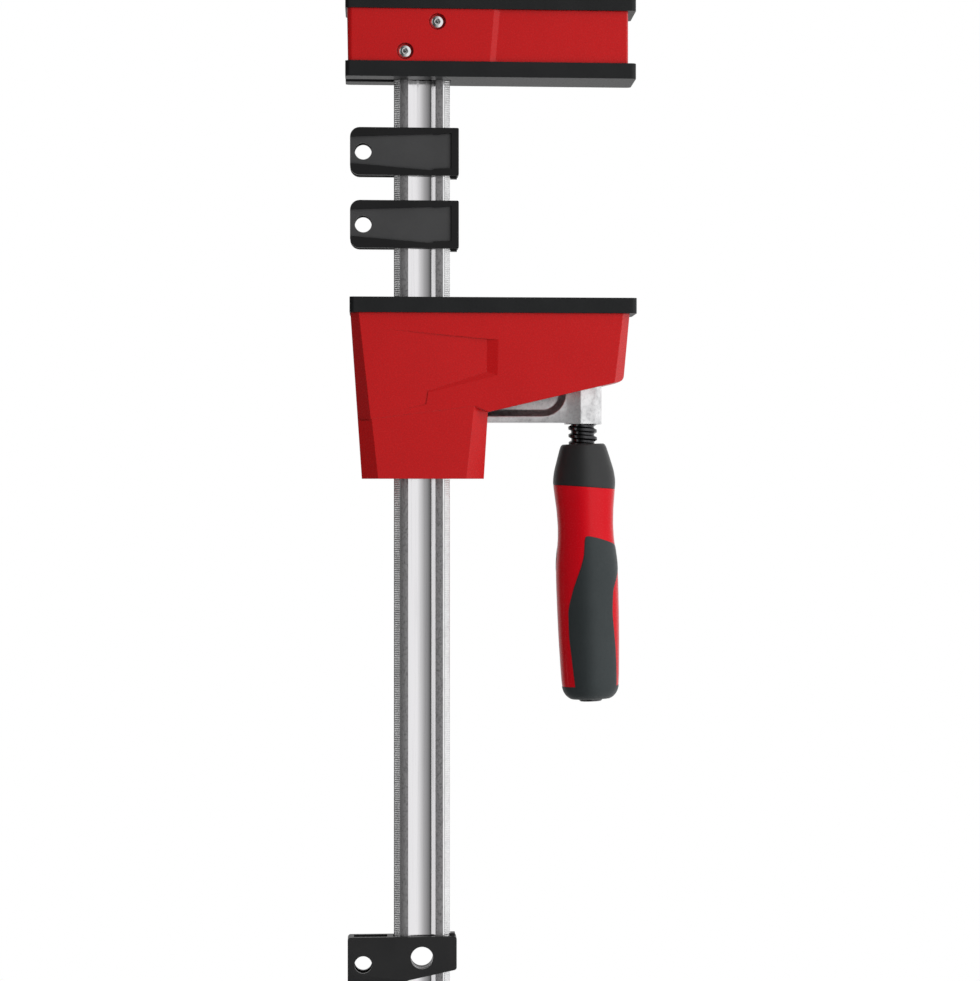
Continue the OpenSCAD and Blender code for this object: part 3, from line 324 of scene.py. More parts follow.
# %% Group: rubbed edges
def build_edge_group():
    """Mask is 1 on an edge that stands out; Normal is the softened normal."""
    group, start, end = start_group(
        "rubbed_edges", [("Radius", 0.0006), ("Patches per metre", 220.0)],
        [("Mask", "NodeSocketFloat"), ("Normal", "NodeSocketVector")])
    bevel = add_node(group, "ShaderNodeBevel", {"Radius": start.outputs["Radius"]}, samples=5)
    true = add_node(group, "ShaderNodeNewGeometry")
    dot = add_node(group, "ShaderNodeVectorMath", {0: bevel, 1: true.outputs["Normal"]},
                   operation="DOT_PRODUCT")
    near = ramp_between(group, dot.outputs["Value"], 0.80, 0.99, 1.0, 0.0)
    place = add_node(group, "ShaderNodeTexCoord")
    patches = noise_value(group, place.outputs["Object"], start.outputs["Patches per metre"], 3.0)
    worn = ramp_between(group, patches, 0.35, 0.7, 0.25, 1.0)
    feed(group, end, {"Mask": maths(group, "MULTIPLY", near, worn), "Normal": bevel})
    return group


edge_group = build_edge_group()
print("group:", edge_group.name, "nodes:", len(edge_group.nodes))


# %% [markdown]
# ## Finishes
#
# A finish is a Principled shader that reads the shared groups. What is the same all over is set on
# the shader itself. What changes over the surface, such as tone, roughness and the small bumps,
# comes through its colour, roughness and normal sockets.


# %% Helpers for the finishes
def new_finish(name, metallic, plain):
    """A material with a Principled shader; plain numbers go straight on its sockets."""
    material = bpy.data.materials.new(name)
    material.use_nodes = True
    shader = material.node_tree.nodes["Principled BSDF"]
    shader.inputs["Metallic"].default_value = metallic
    for label, value in plain.items():
        shader.inputs[label.replace("_", " ").title().replace("Ior", "IOR")].default_value = value
    return material, material.node_tree, shader


def place_group(tree, group, **values):
    """Puts a shared group in a material and sets its inputs by name."""
    inputs = {label.replace("_", " ").capitalize(): value for label, value in values.items()}
    return add_node(tree, "ShaderNodeGroup", inputs, node_tree=group)


def mixed(tree, share, first, second):
    """Mixes two colours, each a socket or an RGB tuple, by a share socket."""
    a, b = [(*colour, 1) if isinstance(colour, tuple) else colour for colour in (first, second)]
    return add_node(tree, "ShaderNodeMix", {"Factor": share, "A": a, "B": b},
                    data_type="RGBA").outputs["Result"]


def bumped(tree, height, distance, strength, normal):
    """A Bump node over a softened normal."""
    return add_node(tree, "ShaderNodeBump", {
        "Distance": distance, "Strength": strength, "Height": height, "Normal": normal}).outputs["Normal"]


# %% Moulded plastic, glossy or matt
def moulded_plastic(name, tone, cloud_tone, edge_tone, rough, grain, bump, edge_radius=0.5 * MM, **plain):
    """Satin plastic with a spark eroded grain, slow tone changes and rubbed edges."""
    material, tree, shader = new_finish(name, 0.0, plain)
    shared = place_group(tree, grain_group, grain_per_metre=grain, clouds_per_metre=45.0, stretch=1.0)
    edges = place_group(tree, edge_group, radius=edge_radius, patches_per_metre=260.0)
    colour = mixed(tree, shared.outputs["Clouds"], tone, cloud_tone)
    rubbed = maths(tree, "MULTIPLY", edges.outputs["Mask"], 0.55)
    feed(tree, shader, {
        "Base Color": mixed(tree, rubbed, colour, edge_tone),
        "Roughness": ramp_between(tree, shared.outputs["Specks"], 0, 1, rough - 0.04, rough + 0.05),
        "Normal": bumped(tree, shared.outputs["Grain"], 0.05 * MM, bump, edges.outputs["Normal"])})
    return material


red_housing = moulded_plastic(
    "red_housing_plastic", (0.495, 0.0030, 0.0042), (0.510, 0.0036, 0.0048), (0.60, 0.045, 0.040),
    rough=0.28, grain=5200.0, bump=0.03, specular_ior_level=0.33)
black_pad = moulded_plastic(
    "black_pad_plastic", (0.0095, 0.0100, 0.0105), (0.0120, 0.0125, 0.0130), (0.034, 0.035, 0.036),
    rough=0.42, grain=4200.0, bump=0.35, specular_ior_level=0.22)
black_clip = moulded_plastic(
    "black_clip_plastic", (0.0080, 0.0080, 0.0084), (0.0100, 0.0100, 0.0104), (0.034, 0.034, 0.036),
    rough=0.34, grain=5200.0, bump=0.20, edge_radius=0.35 * MM, specular_ior_level=0.22)
end_black = moulded_plastic(
    "black_end_clip_plastic", (0.0180, 0.0180, 0.0185), (0.0210, 0.0210, 0.0215), (0.040, 0.040, 0.042),
    rough=0.38, grain=5200.0, bump=0.20, edge_radius=0.35 * MM, specular_ior_level=0.22)
# the sunk floors' lighter grey is painted light, standing in for the light a matt floor scatters; only their
# higher roughness is their own
clip_floor_painted_light = moulded_plastic(
    "black_clip_floor_painted_light", (0.050, 0.050, 0.051), (0.056, 0.056, 0.057), (0.060, 0.060, 0.062),
    rough=0.62, grain=3600.0, bump=0.35, edge_radius=0.35 * MM, specular_ior_level=0.22)
guide_plastic = moulded_plastic(
    "guide_plastic", (0.030, 0.030, 0.031), (0.036, 0.036, 0.037), (0.07, 0.07, 0.07),
    rough=0.5, grain=3600.0, bump=0.3)
plastics = [red_housing, black_pad, black_clip, end_black, clip_floor_painted_light, guide_plastic]
print("plastics:", [material.name for material in plastics])


# %% [markdown]
# The handle is moulded in two shots: hard red plastic first, then a soft grip and a collar over it.
# The red has a thin clear sheen. The soft grip is nearly matt and a little green in the grey, and a
# touch of sheen gives it the dusty light edge of rubber.

# %% The handle's finishes
red_grip = moulded_plastic(
    "red_handle_plastic", (0.590, 0.0018, 0.0085), (0.610, 0.0024, 0.0095), (0.60, 0.04, 0.04),
    rough=0.25, grain=6200.0, bump=0.03, specular_ior_level=0.18)
soft_grip = moulded_plastic(
    "soft_grip_rubber", (0.0240, 0.0305, 0.0320), (0.0275, 0.0340, 0.0355), (0.045, 0.050, 0.052),
    rough=0.55, grain=3000.0, bump=0.5, specular_ior_level=0.3, sheen_weight=0.10, sheen_roughness=0.45)
collar_plastic = moulded_plastic(
    "collar_plastic", (0.0205, 0.0210, 0.0215), (0.0240, 0.0245, 0.0250), (0.050, 0.051, 0.053),
    rough=0.44, grain=4200.0, bump=0.3, specular_ior_level=0.35)
print("handle finishes:", [m.name for m in (red_grip, soft_grip, collar_plastic)])


# %% [markdown]
# Zinc plated steel isn't one finish. Where the mill's rolls have pressed the flats they are matt and
# mottled, and where the groove was drawn it is bright with fine lines along the rail. A casting is
# duller still and has a pebbled skin. One recipe with a few settings makes them all.

# %% Steel and cast iron
def plated_metal(name, tone, dark_tone, edge_tone, rough, grain, bump, stretch=1.0, speck=0.5,
                 clouds=90.0, edge_radius=0.35 * MM):
    """Metal with specks and clouds in its tone, and brighter edges."""
    material, tree, shader = new_finish(name, 1.0, {})
    shared = place_group(tree, grain_group, grain_per_metre=grain, clouds_per_metre=clouds, stretch=stretch)
    edges = place_group(tree, edge_group, radius=edge_radius, patches_per_metre=400.0)
    specks = shared.outputs["Specks"]
    mottle = maths(tree, "ADD", maths(tree, "MULTIPLY", specks, speck),
                   maths(tree, "MULTIPLY", shared.outputs["Clouds"], 1.0 - speck))
    height = maths(tree, "ADD", shared.outputs["Grain"], maths(tree, "MULTIPLY", specks, 0.8))
    rubbed = maths(tree, "MULTIPLY", edges.outputs["Mask"], 0.7)
    feed(tree, shader, {
        "Base Color": mixed(tree, rubbed, mixed(tree, mottle, tone, dark_tone), edge_tone),
        "Roughness": ramp_between(tree, mottle, 0, 1, rough - 0.05, rough + 0.08),
        "Normal": bumped(tree, height, 0.06 * MM, bump, edges.outputs["Normal"])})
    return material


rail_flat = plated_metal(
    "rail_rolled_zinc", (0.33, 0.325, 0.33), (0.19, 0.185, 0.19), (0.30, 0.30, 0.305),
    rough=0.46, grain=5600.0, bump=0.40, stretch=1.3, speck=0.7, clouds=700.0)
rail_groove = plated_metal(
    "rail_drawn_zinc", (0.805, 0.795, 0.81), (0.765, 0.755, 0.77), (0.82, 0.82, 0.82),
    rough=0.13, grain=2600.0, bump=0.02, stretch=60.0, speck=0.7)
rail_edge = plated_metal(
    "rail_bright_edge", (0.88, 0.88, 0.885), (0.76, 0.76, 0.77), (0.9, 0.9, 0.9),
    rough=0.15, grain=2200.0, bump=0.08, stretch=4.0)
tooth_steel = plated_metal(
    "rail_teeth_zinc", (0.93, 0.93, 0.935), (0.76, 0.76, 0.765), (0.93, 0.93, 0.93),
    rough=0.40, grain=2400.0, bump=0.15)
cast_arm = plated_metal(
    "arm_cast_zinc", (0.93, 0.93, 0.935), (0.60, 0.605, 0.615), (0.93, 0.93, 0.93),
    rough=0.42, grain=2600.0, bump=0.30, speck=0.4, clouds=160.0, edge_radius=0.9 * MM)
bent_steel = plated_metal(
    "bent_sheet_zinc", (0.60, 0.60, 0.61), (0.48, 0.48, 0.49), (0.8, 0.8, 0.8),
    rough=0.34, grain=2400.0, bump=0.10, stretch=3.0)
screw_steel = plated_metal(
    "screw_bright_zinc", (0.80, 0.80, 0.80), (0.62, 0.62, 0.63), (0.9, 0.9, 0.9),
    rough=0.15, grain=2600.0, bump=0.03, edge_radius=0.15 * MM)
black_oxide = plated_metal(
    "spindle_black_oxide", (0.085, 0.085, 0.088), (0.045, 0.045, 0.048), (0.20, 0.20, 0.205),
    rough=0.22, grain=2600.0, bump=0.08, edge_radius=0.2 * MM)
metals = [rail_flat, rail_groove, rail_edge, tooth_steel, cast_arm, bent_steel, screw_steel, black_oxide]
print("metals:", [material.name for material in metals])


# %% [markdown]
# ## Pieces that keep the solid's shape
#
# The pads, clips and housings have the right shape already, but every edge of the solid is knife
# sharp, and a moulded edge never is. So a copy of each solid is welded, its flat triangles are merged
# back into whole faces, and its sharp edges get a small round. Weighted normals let the large faces
# stay flat and keep the light's turn inside the rounds. The copy then stands for the solid.

# %% A helper that softens a copy of a solid
def link_piece(name, mesh, materials, body=None):
    """Puts a finished mesh in the scene as one piece with its materials."""
    for material in materials:
        mesh.materials.append(material)
    piece = placed(name, mesh)
    if body:
        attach(piece, body)
    if any(material in metals for material in mesh.materials[:]):
        bare_metal.objects.link(piece)
    return piece


def shade(mesh, sharp_above=32):
    """Smooth shading, with edges steeper than an angle kept sharp."""
    mesh.shade_smooth()
    mesh.set_sharp_from_angle(angle=math.radians(sharp_above))


def welded(node, flat_within=0.4):
    """A bmesh copy of a solid, its doubles merged and its flat faces made whole."""
    bm = bmesh.new()
    bm.from_mesh(nodes[node].data)
    bmesh.ops.remove_doubles(bm, verts=bm.verts, dist=2e-6)
    bmesh.ops.dissolve_limit(bm, angle_limit=math.radians(flat_within), verts=bm.verts, edges=bm.edges)
    return bm


def finished_mesh(piece, name):
    """The piece as its modifiers leave it, as a plain mesh."""
    depsgraph = bpy.context.evaluated_depsgraph_get()
    mesh = bpy.data.meshes.new_from_object(piece.evaluated_get(depsgraph))
    mesh.name = name
    return mesh


def softened(node, name, body, materials, width, segments=3, above=28, second=None):
    """A copy of a solid with its sharp edges rounded; it replaces the solid.

    A face for which second(face) is true takes the second finish.
    """
    bm = welded(node)
    for face in bm.faces:
        face.material_index = 1 if second and second(face) else 0
    edges = [e for e in bm.edges if len(e.link_faces) == 2 and e.calc_face_angle(0) > math.radians(above)]
    bmesh.ops.bevel(bm, geom=edges, offset=width, offset_type="OFFSET", segments=segments,
                    profile=0.5, affect="EDGES", clamp_overlap=True, loop_slide=True, material=0)
    bmesh.ops.triangulate(bm, faces=[f for f in bm.faces if len(f.verts) > 4])
    mesh = mesh_of(bm, name)
    shade(mesh)
    piece = link_piece(name, mesh, materials, body)
    piece.modifiers.new("even", "WEIGHTED_NORMAL").keep_sharp = True
    piece.data = finished_mesh(piece, name + "_even")
    piece.modifiers.clear()
    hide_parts(node)
    print(name, "edges rounded:", len(edges), "faces:", len(piece.data.polygons))


# %% [markdown]
# ### Pads, clips and the head's housing
#
# These are plain mouldings. The pads get the largest round, because they are thick and soft to the
# touch. The housing's corners are crisp, as they are drawn in a polished steel mould.

# %% Soften the black mouldings
clip_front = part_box("upper_bar_clip")[0][1]


def recessed(face):
    """True for the sunk floors in a clip's front and rear."""
    inset = abs(face.calc_center_median().y) - abs(clip_front)
    return abs(face.normal.y) > 0.99 and -2.5 * MM < inset < -0.3 * MM


pad_round, clip_round = 0.7 * MM, 0.25 * MM
softened("head_clamping_pad", "head_lower_pad", "frame", [black_pad], pad_round)
softened("head_back_pad", "head_upper_pad", "frame", [black_pad], pad_round)
softened("jaw_pad", "moving_jaw_pad", "jaw", [black_pad], pad_round)
# the second finish paints light onto the sunk floors as a lighter grey
clip_finishes = [black_clip, clip_floor_painted_light]
softened("upper_bar_clip", "upper_clip_moulding", "upper_clip", clip_finishes, clip_round, second=recessed)
softened("lower_bar_clip", "lower_clip_moulding", "lower_clip", clip_finishes, clip_round, second=recessed)
softened("end_clip", "rail_end_clip_moulding", "rail_end_clip", [end_black], 0.3 * MM)

# %% Soften the red mouldings
softened("head_housing", "head_red_housing", "frame", [red_housing], 0.35 * MM, above=8)
softened("jaw_cover", "jaw_red_cover", "jaw", [red_housing], 0.45 * MM, above=8)

# %% [markdown]
# ### The cast arm
#
# A casting leaves its mould with rounded edges and soft fillets, so its edges get a wider round than
# the mouldings. Its skin comes from the finish.

# %% Soften the arm
softened("sliding_arm", "cast_arm", "arm", [cast_arm], 1.1 * MM, segments=4, above=24)

# %% [markdown]
# ### Pieces that stay as they are
#
# The channels, guides, pins and rivets sit inside the mouldings. Their solids are right, so they only
# need their finish. A solid's own mesh is never changed, and only its material is.

# %% Give the inner solids their finish
inner_solids = [
    (bent_steel, ["head_channel", "jaw_channel", "thrust_block"]),
    (guide_plastic, ["upper_rail_guide", "lower_rail_guide"]),
    (screw_steel, ["guide_rivets", "retaining_ring", "friction_spring", "upper_grip_pin", "lower_grip_pin"])]
for material, names in inner_solids:
    for name in names:
        nodes[name].material_slots[0].material = material
print("inner solids dressed:", sum(len(names) for _, names in inner_solids))

# %% [markdown]
# ## The rail
#
# The rail is one drawn bar: the same outline all along, with a shallow round groove in each broad
# face and a bevel at each long corner. A drawn bar is best made the same way, by pushing its outline
# along a line. Each strip of the outline gets the finish that the rolls and the draw plate left on
# it, and three bored holes are cut through last.


# %% The rail's outline
FLAT, GROOVE, EDGE = 0, 1, 2  # the rail's three finishes
bevel_w, bevel_d = 2.8 * MM, 1.4 * MM
groove_half = 7.1  # in millimetres, as the groove's other sizes are


def groove_drop(x, wall=2.4, depth=1.6, low_point=1.0, bow=0.052):
    """How deep the groove is at x, in mm: a gently bowed floor between two steeper walls."""
    floor_half = groove_half - wall
    inside = min(max(x, -floor_half), floor_half)
    drop = depth - bow / 2 * (inside - low_point) ** 2
    return drop * min(1, (groove_half - abs(x)) / wall)


def rail_outline(lip_w=0.8 * MM, lip_d=0.2 * MM, steps=46):
    """Points round the rail from above, each with the finish of the strip that it starts."""
    wide, deep = rail_half, rail_half_deep
    side = [(wide, -deep + bevel_d, EDGE), (wide, deep - bevel_d, EDGE),
            (wide - bevel_w, deep - lip_d, EDGE), (wide - bevel_w - lip_w, deep, FLAT)]
    for i in range(steps + 1):
        x = groove_half * (1 - 2 * i / steps)
        side.append((x * MM, deep - groove_drop(-x) * MM, GROOVE if i < steps else FLAT))
    side += [(-wide + bevel_w + lip_w, deep, EDGE), (-wide + bevel_w, deep - lip_d, EDGE)]
    return [(s * x, s * y, strip) for s in (1, -1) for x, y, strip in side]


outline = rail_outline()
print("outline points:", len(outline))


# %% Push the outline along the rail
def tube(bm, rings, ends=True, keep=lambda i, j: True):
    """Joins rings of points into a surface; returns its side faces and its end faces."""
    rows = [[bm.verts.new(point) for point in ring] for ring in rings]
    sides = []
    for i, (first, second) in enumerate(zip(rows, rows[1:])):
        for j in range(len(first)):
            if keep(i, j):
                k = (j + 1) % len(first)
                sides.append(bm.faces.new((first[j], second[j], second[k], first[k])))
    return sides, [bm.faces.new(row) for row in (rows[0], rows[-1])] if ends else []


def drawn_bar(outline, low, high, lengths=24):
    """A closed bar with one finish for each strip of its outline."""
    bm = bmesh.new()
    heights = [low + (high - low) * i / lengths for i in range(lengths + 1)]
    sides, caps = tube(bm, [[(rail_x + x, y, z) for x, y, _ in outline] for z in heights])
    for n, face in enumerate(sides):
        face.material_index = outline[n % len(outline)][2]
    for face in caps:
        face.material_index = EDGE
    bmesh.ops.recalc_face_normals(bm, faces=bm.faces)
    return mesh_of(bm, "grooved_rail")


rail = link_piece("grooved_rail", drawn_bar(outline, rail_low[2], rail_high[2]),
                  [rail_flat, rail_groove, rail_edge])
print("rail length in mm:", round((rail_high[2] - rail_low[2]) / MM, 1))


# %% Bore the rail's holes
def cutter(name, holes, deep):
    """Round rods along Y that are used to bore holes; each hole is (x, z, diameter)."""
    bm = bmesh.new()
    lie_down = Matrix.Rotation(math.pi / 2, 3, "X")
    for x, z, d in holes:
        rod = bmesh.ops.create_cone(bm, cap_ends=True, segments=64, radius1=d / 2, radius2=d / 2, depth=deep)
        bmesh.ops.rotate(bm, verts=rod["verts"], cent=(0, 0, 0), matrix=lie_down)
        bmesh.ops.translate(bm, verts=rod["verts"], vec=(x, 0, z))
    return placed(name, mesh_of(bm, name))


end_hole = next(m for m in frame["record"]["mounts"] if m["name"] == "rail_end_hole")
screw_box, nut_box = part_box("head_screws"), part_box("head_sleeve_nuts")
head_r, screw_hole = 3.8 * MM, 4.2 * MM
screw_places = [(screw_box[1][0] - head_r, screw_box[1][2] - head_r),
                (screw_box[0][0] + head_r, screw_box[0][2] + head_r)]
holes = [(rail_x, end_hole["pos_m"][2], 2 * end_hole["dims"]["r_mm"] * MM)]
holes += [(x, z, screw_hole) for x, z in screw_places]
rods = cutter("hole_rods", holes, deep=30 * MM)
bore = rail.modifiers.new("bore", "BOOLEAN")
bore.operation = "DIFFERENCE"
bore.object = rods
bore.solver = "EXACT"
rail_mesh = finished_mesh(rail, "grooved_rail_bored")
rail.modifiers.remove(bore)
rail.data = rail_mesh
bpy.data.objects.remove(rods)
shade(rail_mesh, 24)
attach(rail, "frame")
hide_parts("rail")
print("rail faces:", len(rail_mesh.polygons))


# %% [markdown]
# ### The rail's teeth
#
# Fine teeth are rolled into the four long corners, and the arm's pins bite into them. There are
# hundreds, all alike, which is work for Geometry Nodes. One ring of four small wedges is modelled, and
# the tree sets a copy of it at every pitch along a line. Realize Instances makes the copies real,
# because an export drops instances.

# %% A helper for node trees that make geometry
def start_geometry_tree(name, inputs):
    """A geometry tree with named inputs; returns it with its end nodes."""
    tree = bpy.data.node_groups.new(name, "GeometryNodeTree")
    tree.interface.new_socket("Geometry", in_out="INPUT", socket_type="NodeSocketGeometry")
    for label, kind in inputs:
        tree.interface.new_socket(label, in_out="INPUT", socket_type=kind)
    tree.interface.new_socket("Geometry", in_out="OUTPUT", socket_type="NodeSocketGeometry")
    return tree, tree.nodes.new("NodeGroupInput"), tree.nodes.new("NodeGroupOutput")


def end_geometry_tree(tree, start, end, geometry):
    """Makes the copies real, sets the finish and ends the tree."""
    real = add_node(tree, "GeometryNodeRealizeInstances", {0: geometry})
    paint = add_node(tree, "GeometryNodeSetMaterial", {"Geometry": real, "Material": start.outputs["Finish"]})
    feed(tree, end, {0: paint})


def made_by(tree, name, mesh, values):
    """Runs a geometry tree over a mesh, its inputs set by identifier, and returns the plain mesh."""
    holder = placed(name, mesh)
    modifier = holder.modifiers.new(tree.name, "NODES")
    modifier.node_group = tree
    for item in tree.interface.items_tree:
        if item.in_out == "INPUT" and item.name in values:
            modifier[item.identifier] = values[item.name]
    result = finished_mesh(holder, name)
    bpy.data.objects.remove(holder)
    return result


# %% One ring of teeth
def tooth_ring(pitch, rise=0.05 * MM):
    """Four small wedges, one on each bevelled corner, each about half a pitch thick."""
    bm = bmesh.new()
    foot, crest = 0.36 * pitch, 0.14 * pitch
    low_edge = (rail_half, rail_half_deep - bevel_d)
    high_edge = (rail_half - bevel_w, rail_half_deep)
    between = ((low_edge[0] + high_edge[0]) / 2, (low_edge[1] + high_edge[1]) / 2)
    top = (rail_half - 0.5 * bevel_w + 0.45 * rise, rail_half_deep - 0.5 * bevel_d + 0.9 * rise)
    sunk = (rail_half - 0.75 * bevel_w, rail_half_deep - 0.75 * bevel_d)
    for sx, sy in ((1, 1), (-1, 1), (-1, -1), (1, -1)):
        tube(bm, [[(sx * x, sy * y, z) for x, y in (sunk, low_edge, peak, high_edge)]
                  for z, peak in ((-foot, between), (-crest, top), (crest, top), (foot, between))])
    bmesh.ops.recalc_face_normals(bm, faces=bm.faces)
    return placed("tooth_ring", mesh_of(bm, "tooth_ring"))


tooth_pitch = 1.15 * MM
ring = tooth_ring(tooth_pitch)
print("faces in a ring:", len(ring.data.polygons))

# %% The tree that sets the teeth along the rail
tree, start, end = start_geometry_tree("teeth_along_rail", [
    ("Count", "NodeSocketInt"), ("First", "NodeSocketVector"), ("Step", "NodeSocketVector"),
    ("Tooth ring", "NodeSocketObject"), ("Finish", "NodeSocketMaterial")])
given = start.outputs
line = add_node(tree, "GeometryNodeMeshLine", {
    "Count": given["Count"], "Start Location": given["First"], "Offset": given["Step"]})
info = add_node(tree, "GeometryNodeObjectInfo", {"Object": given["Tooth ring"]})
copies = add_node(tree, "GeometryNodeInstanceOnPoints", {
    "Points": line, "Instance": info.outputs["Geometry"]})
end_geometry_tree(tree, start, end, copies)
count = int((rail_high[2] - rail_low[2] - 2 * tooth_pitch) / tooth_pitch)
teeth_mesh = made_by(tree, "rail_teeth", bpy.data.meshes.new("teeth_holder"), {
    "Count": count, "First": (rail_x, 0, rail_low[2] + 1.5 * tooth_pitch), "Step": (0, 0, tooth_pitch),
    "Tooth ring": ring, "Finish": tooth_steel})
bpy.data.objects.remove(ring)
teeth = link_piece("rail_teeth", teeth_mesh, [], "frame")
print("teeth rings:", count, "faces:", len(teeth_mesh.polygons))


# %% [markdown]
# ## Head screws
#
# Two button heads with hexagon sockets sit in round sinks in the housing, and two more close the
# sleeve nuts at the rear. A button head is a turned shape with a six-sided socket: rings of points
# run from the drilled cone under the socket, up its six sides, over the dome and down the rim. The
# cone is deep, so that the socket is dark. A small tree sets each head at its two places.


# %% One button head
def hexagon(a, across):
    """How far a hexagon's side is from its middle in the direction a."""
    return across / 2 / math.cos((a + math.pi / 6) % (math.pi / 3) - math.pi / 6)


def turned(rows, count):
    """Rings of points about Z; each row is a height and a radius, or a rule for the radius."""
    angles = [2 * math.pi * i / count for i in range(count)]
    rules = [(z, size if callable(size) else lambda a, size=size: size) for z, size in rows]
    return [[(size(a) * math.cos(a), size(a) * math.sin(a), z) for a in angles] for z, size in rules]


def button_head(radius, height, across_flats, shank_radius, shank_length, count=48):
    """A button head on its shank, the head above z = 0 and the shank below."""
    point = 0.01 * MM
    rows = [(-1.2 * height, point), (0.1 * height, 0.48 * across_flats),
            (0.1 * height, lambda a: 0.98 * hexagon(a, across_flats)),
            (0.94 * height, lambda a: hexagon(a, across_flats)),
            (0.998 * height, 0.6 * across_flats + 0.06 * MM)]
    rows += [(height * (1.1 - 0.6 * share ** 2), radius * share)
             for share in (0.45, 0.6, 0.74, 0.86, 0.94, 0.985, 1.0)]
    rows += [(0.0, radius * 0.99), (0.0, shank_radius), (-shank_length, shank_radius), (-shank_length, point)]
    bm = bmesh.new()
    tube(bm, turned(rows, count), ends=False)
    bmesh.ops.remove_doubles(bm, verts=bm.verts, dist=0.02 * MM)
    bmesh.ops.recalc_face_normals(bm, faces=bm.faces)
    mesh = mesh_of(bm, "button_head")
    shade(mesh, 35)
    return placed("button_head", mesh)


# %% The tree that sets a part on each point of a mesh
tree, start, end = start_geometry_tree("part_on_points", [
    ("Part", "NodeSocketObject"), ("Turn", "NodeSocketRotation"), ("Finish", "NodeSocketMaterial")])
given = start.outputs
info = add_node(tree, "GeometryNodeObjectInfo", {"Object": given["Part"]})
copies = add_node(tree, "GeometryNodeInstanceOnPoints", {
    "Points": given["Geometry"], "Instance": info.outputs["Geometry"], "Rotation": given["Turn"]})
end_geometry_tree(tree, start, end, copies)
part_on_points = tree


def on_points(name, part, points, turn, finish, body):
    """Copies of a part at some points, all turned alike, as one piece."""
    marks = bpy.data.meshes.new(name + "_marks")
    marks.from_pydata(points, [], [])
    mesh = made_by(part_on_points, name, marks, {"Part": part, "Turn": turn, "Finish": finish})
    bpy.data.objects.remove(part)
    return link_piece(name, mesh, [], body)


# %% Set the screws and the sleeve nuts
head_high, socket_flats = 2.2 * MM, 2.5 * MM
seat_front = screw_box[0][1] + head_high
seat_rear = nut_box[1][1] - head_high
head = button_head(head_r, head_high, socket_flats, 2.0 * MM, screw_box[1][1] - seat_front)
screws = on_points("head_button_screws", head, [(x, seat_front, z) for x, z in screw_places],
                   (math.pi / 2, 0, 0), screw_steel, "frame")
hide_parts("head_screws")
head = button_head(head_r, head_high, socket_flats, 3.0 * MM, seat_rear - nut_box[0][1])
nuts = on_points("head_sleeve_nut_heads", head, [(x, seat_rear, z) for x, z in screw_places],
                 (-math.pi / 2, 0, 0), screw_steel, "frame")
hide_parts("head_sleeve_nuts")
print("screw faces:", len(screws.data.polygons), "nut faces:", len(nuts.data.polygons))

# %% [markdown]
# ## The spindle
#
# A trapezoidal thread is a ridge that winds round a core, so its tree sweeps a trapezoid along a
# helix. The ridge is set a little into the core, and both are moved onto the leaning axis. The core
# itself is turned on a lathe of points: plain shank through the handle, necked tip in the thrust
# block, and a hexagon socket in the tail.

# %% The tree that winds a thread
thread_sizes = ["Turns", "Pitch", "Root radius", "Ridge height", "Root width", "Crest width"]
tree, start, end = start_geometry_tree("wound_thread", [
    *[(label, "NodeSocketFloat") for label in thread_sizes], ("Finish", "NodeSocketMaterial")])
given = start.outputs
helix = add_node(tree, "GeometryNodeCurveSpiral", {
    "Resolution": 64, "Rotations": given["Turns"], "Start Radius": given["Root radius"],
    "End Radius": given["Root radius"], "Height": maths(tree, "MULTIPLY", given["Turns"], given["Pitch"])})
upright = add_node(tree, "GeometryNodeSetCurveNormal", {0: helix}, mode="Z_UP")
section = add_node(tree, "GeometryNodeCurvePrimitiveQuadrilateral", {
    "Offset": 0.0, "Height": given["Ridge height"], "Bottom Width": given["Root width"],
    "Top Width": given["Crest width"]}, mode="TRAPEZOID")
soft = add_node(tree, "GeometryNodeFilletCurve", {
    "Curve": section, "Count": 3, "Limit Radius": True,
    "Radius": maths(tree, "MULTIPLY", given["Ridge height"], 0.16)}, mode="POLY")
# a quarter turn points the trapezoid's narrow side away from the axis
outward = add_node(tree, "GeometryNodeTransform", {"Geometry": soft, "Rotation": (0.0, 0.0, math.pi / 2)})
sweep = add_node(tree, "GeometryNodeCurveToMesh", {
    "Curve": upright, "Profile Curve": outward, "Fill Caps": True})
end_geometry_tree(tree, start, end, sweep)
print("thread nodes:", len(tree.nodes))

# %% Wind the thread
thread_pitch, thread_root, thread_crest, sunk = 4.0 * MM, 6.05 * MM, 7.5 * MM, 0.3 * MM
ridge_height = thread_crest - thread_root + sunk
ridge_mesh = made_by(tree, "thread_ridge", bpy.data.meshes.new("thread_holder"), {
    "Turns": 13.0, "Pitch": thread_pitch, "Root radius": thread_root - sunk + ridge_height / 2,
    "Ridge height": ridge_height, "Root width": 3.2 * MM, "Crest width": 1.35 * MM, "Finish": black_oxide})
reach = [math.hypot(v.co.x, v.co.y) / MM for v in ridge_mesh.vertices]
print("thread points:", len(reach), "radius in mm:", round(min(reach), 2), "to", round(max(reach), 2))

# %% Turn the core, and join the thread to it
thread_low, tail = -12.4 * MM, -145.0 * MM
tip_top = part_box("spindle")[1][2]
tip = (on_spindle.inverted() @ Vector((turn["pos_m"][0], 0, tip_top))).z
neck = tip - 5.9 * MM
collar_r, ring_r, key_flats = 4.5 * MM, 3.5 * MM, 2 * 2.98 * MM
core_rows = [(tail + z, lambda a: hexagon(a, key_flats)) for z in (9.6 * MM, 0.5 * MM)]
core_rows += [(tail, 3.4 * MM), (tail, 5.4 * MM), (tail + 0.6 * MM, thread_root),
              (neck - 0.3 * MM, thread_root), (neck, 5.7 * MM), (neck, collar_r),
              (neck + 2.5 * MM, collar_r), (neck + 2.5 * MM, ring_r), (neck + 4.1 * MM, ring_r),
              (neck + 4.1 * MM, collar_r), (tip - 0.4 * MM, collar_r), (tip, 4.1 * MM)]
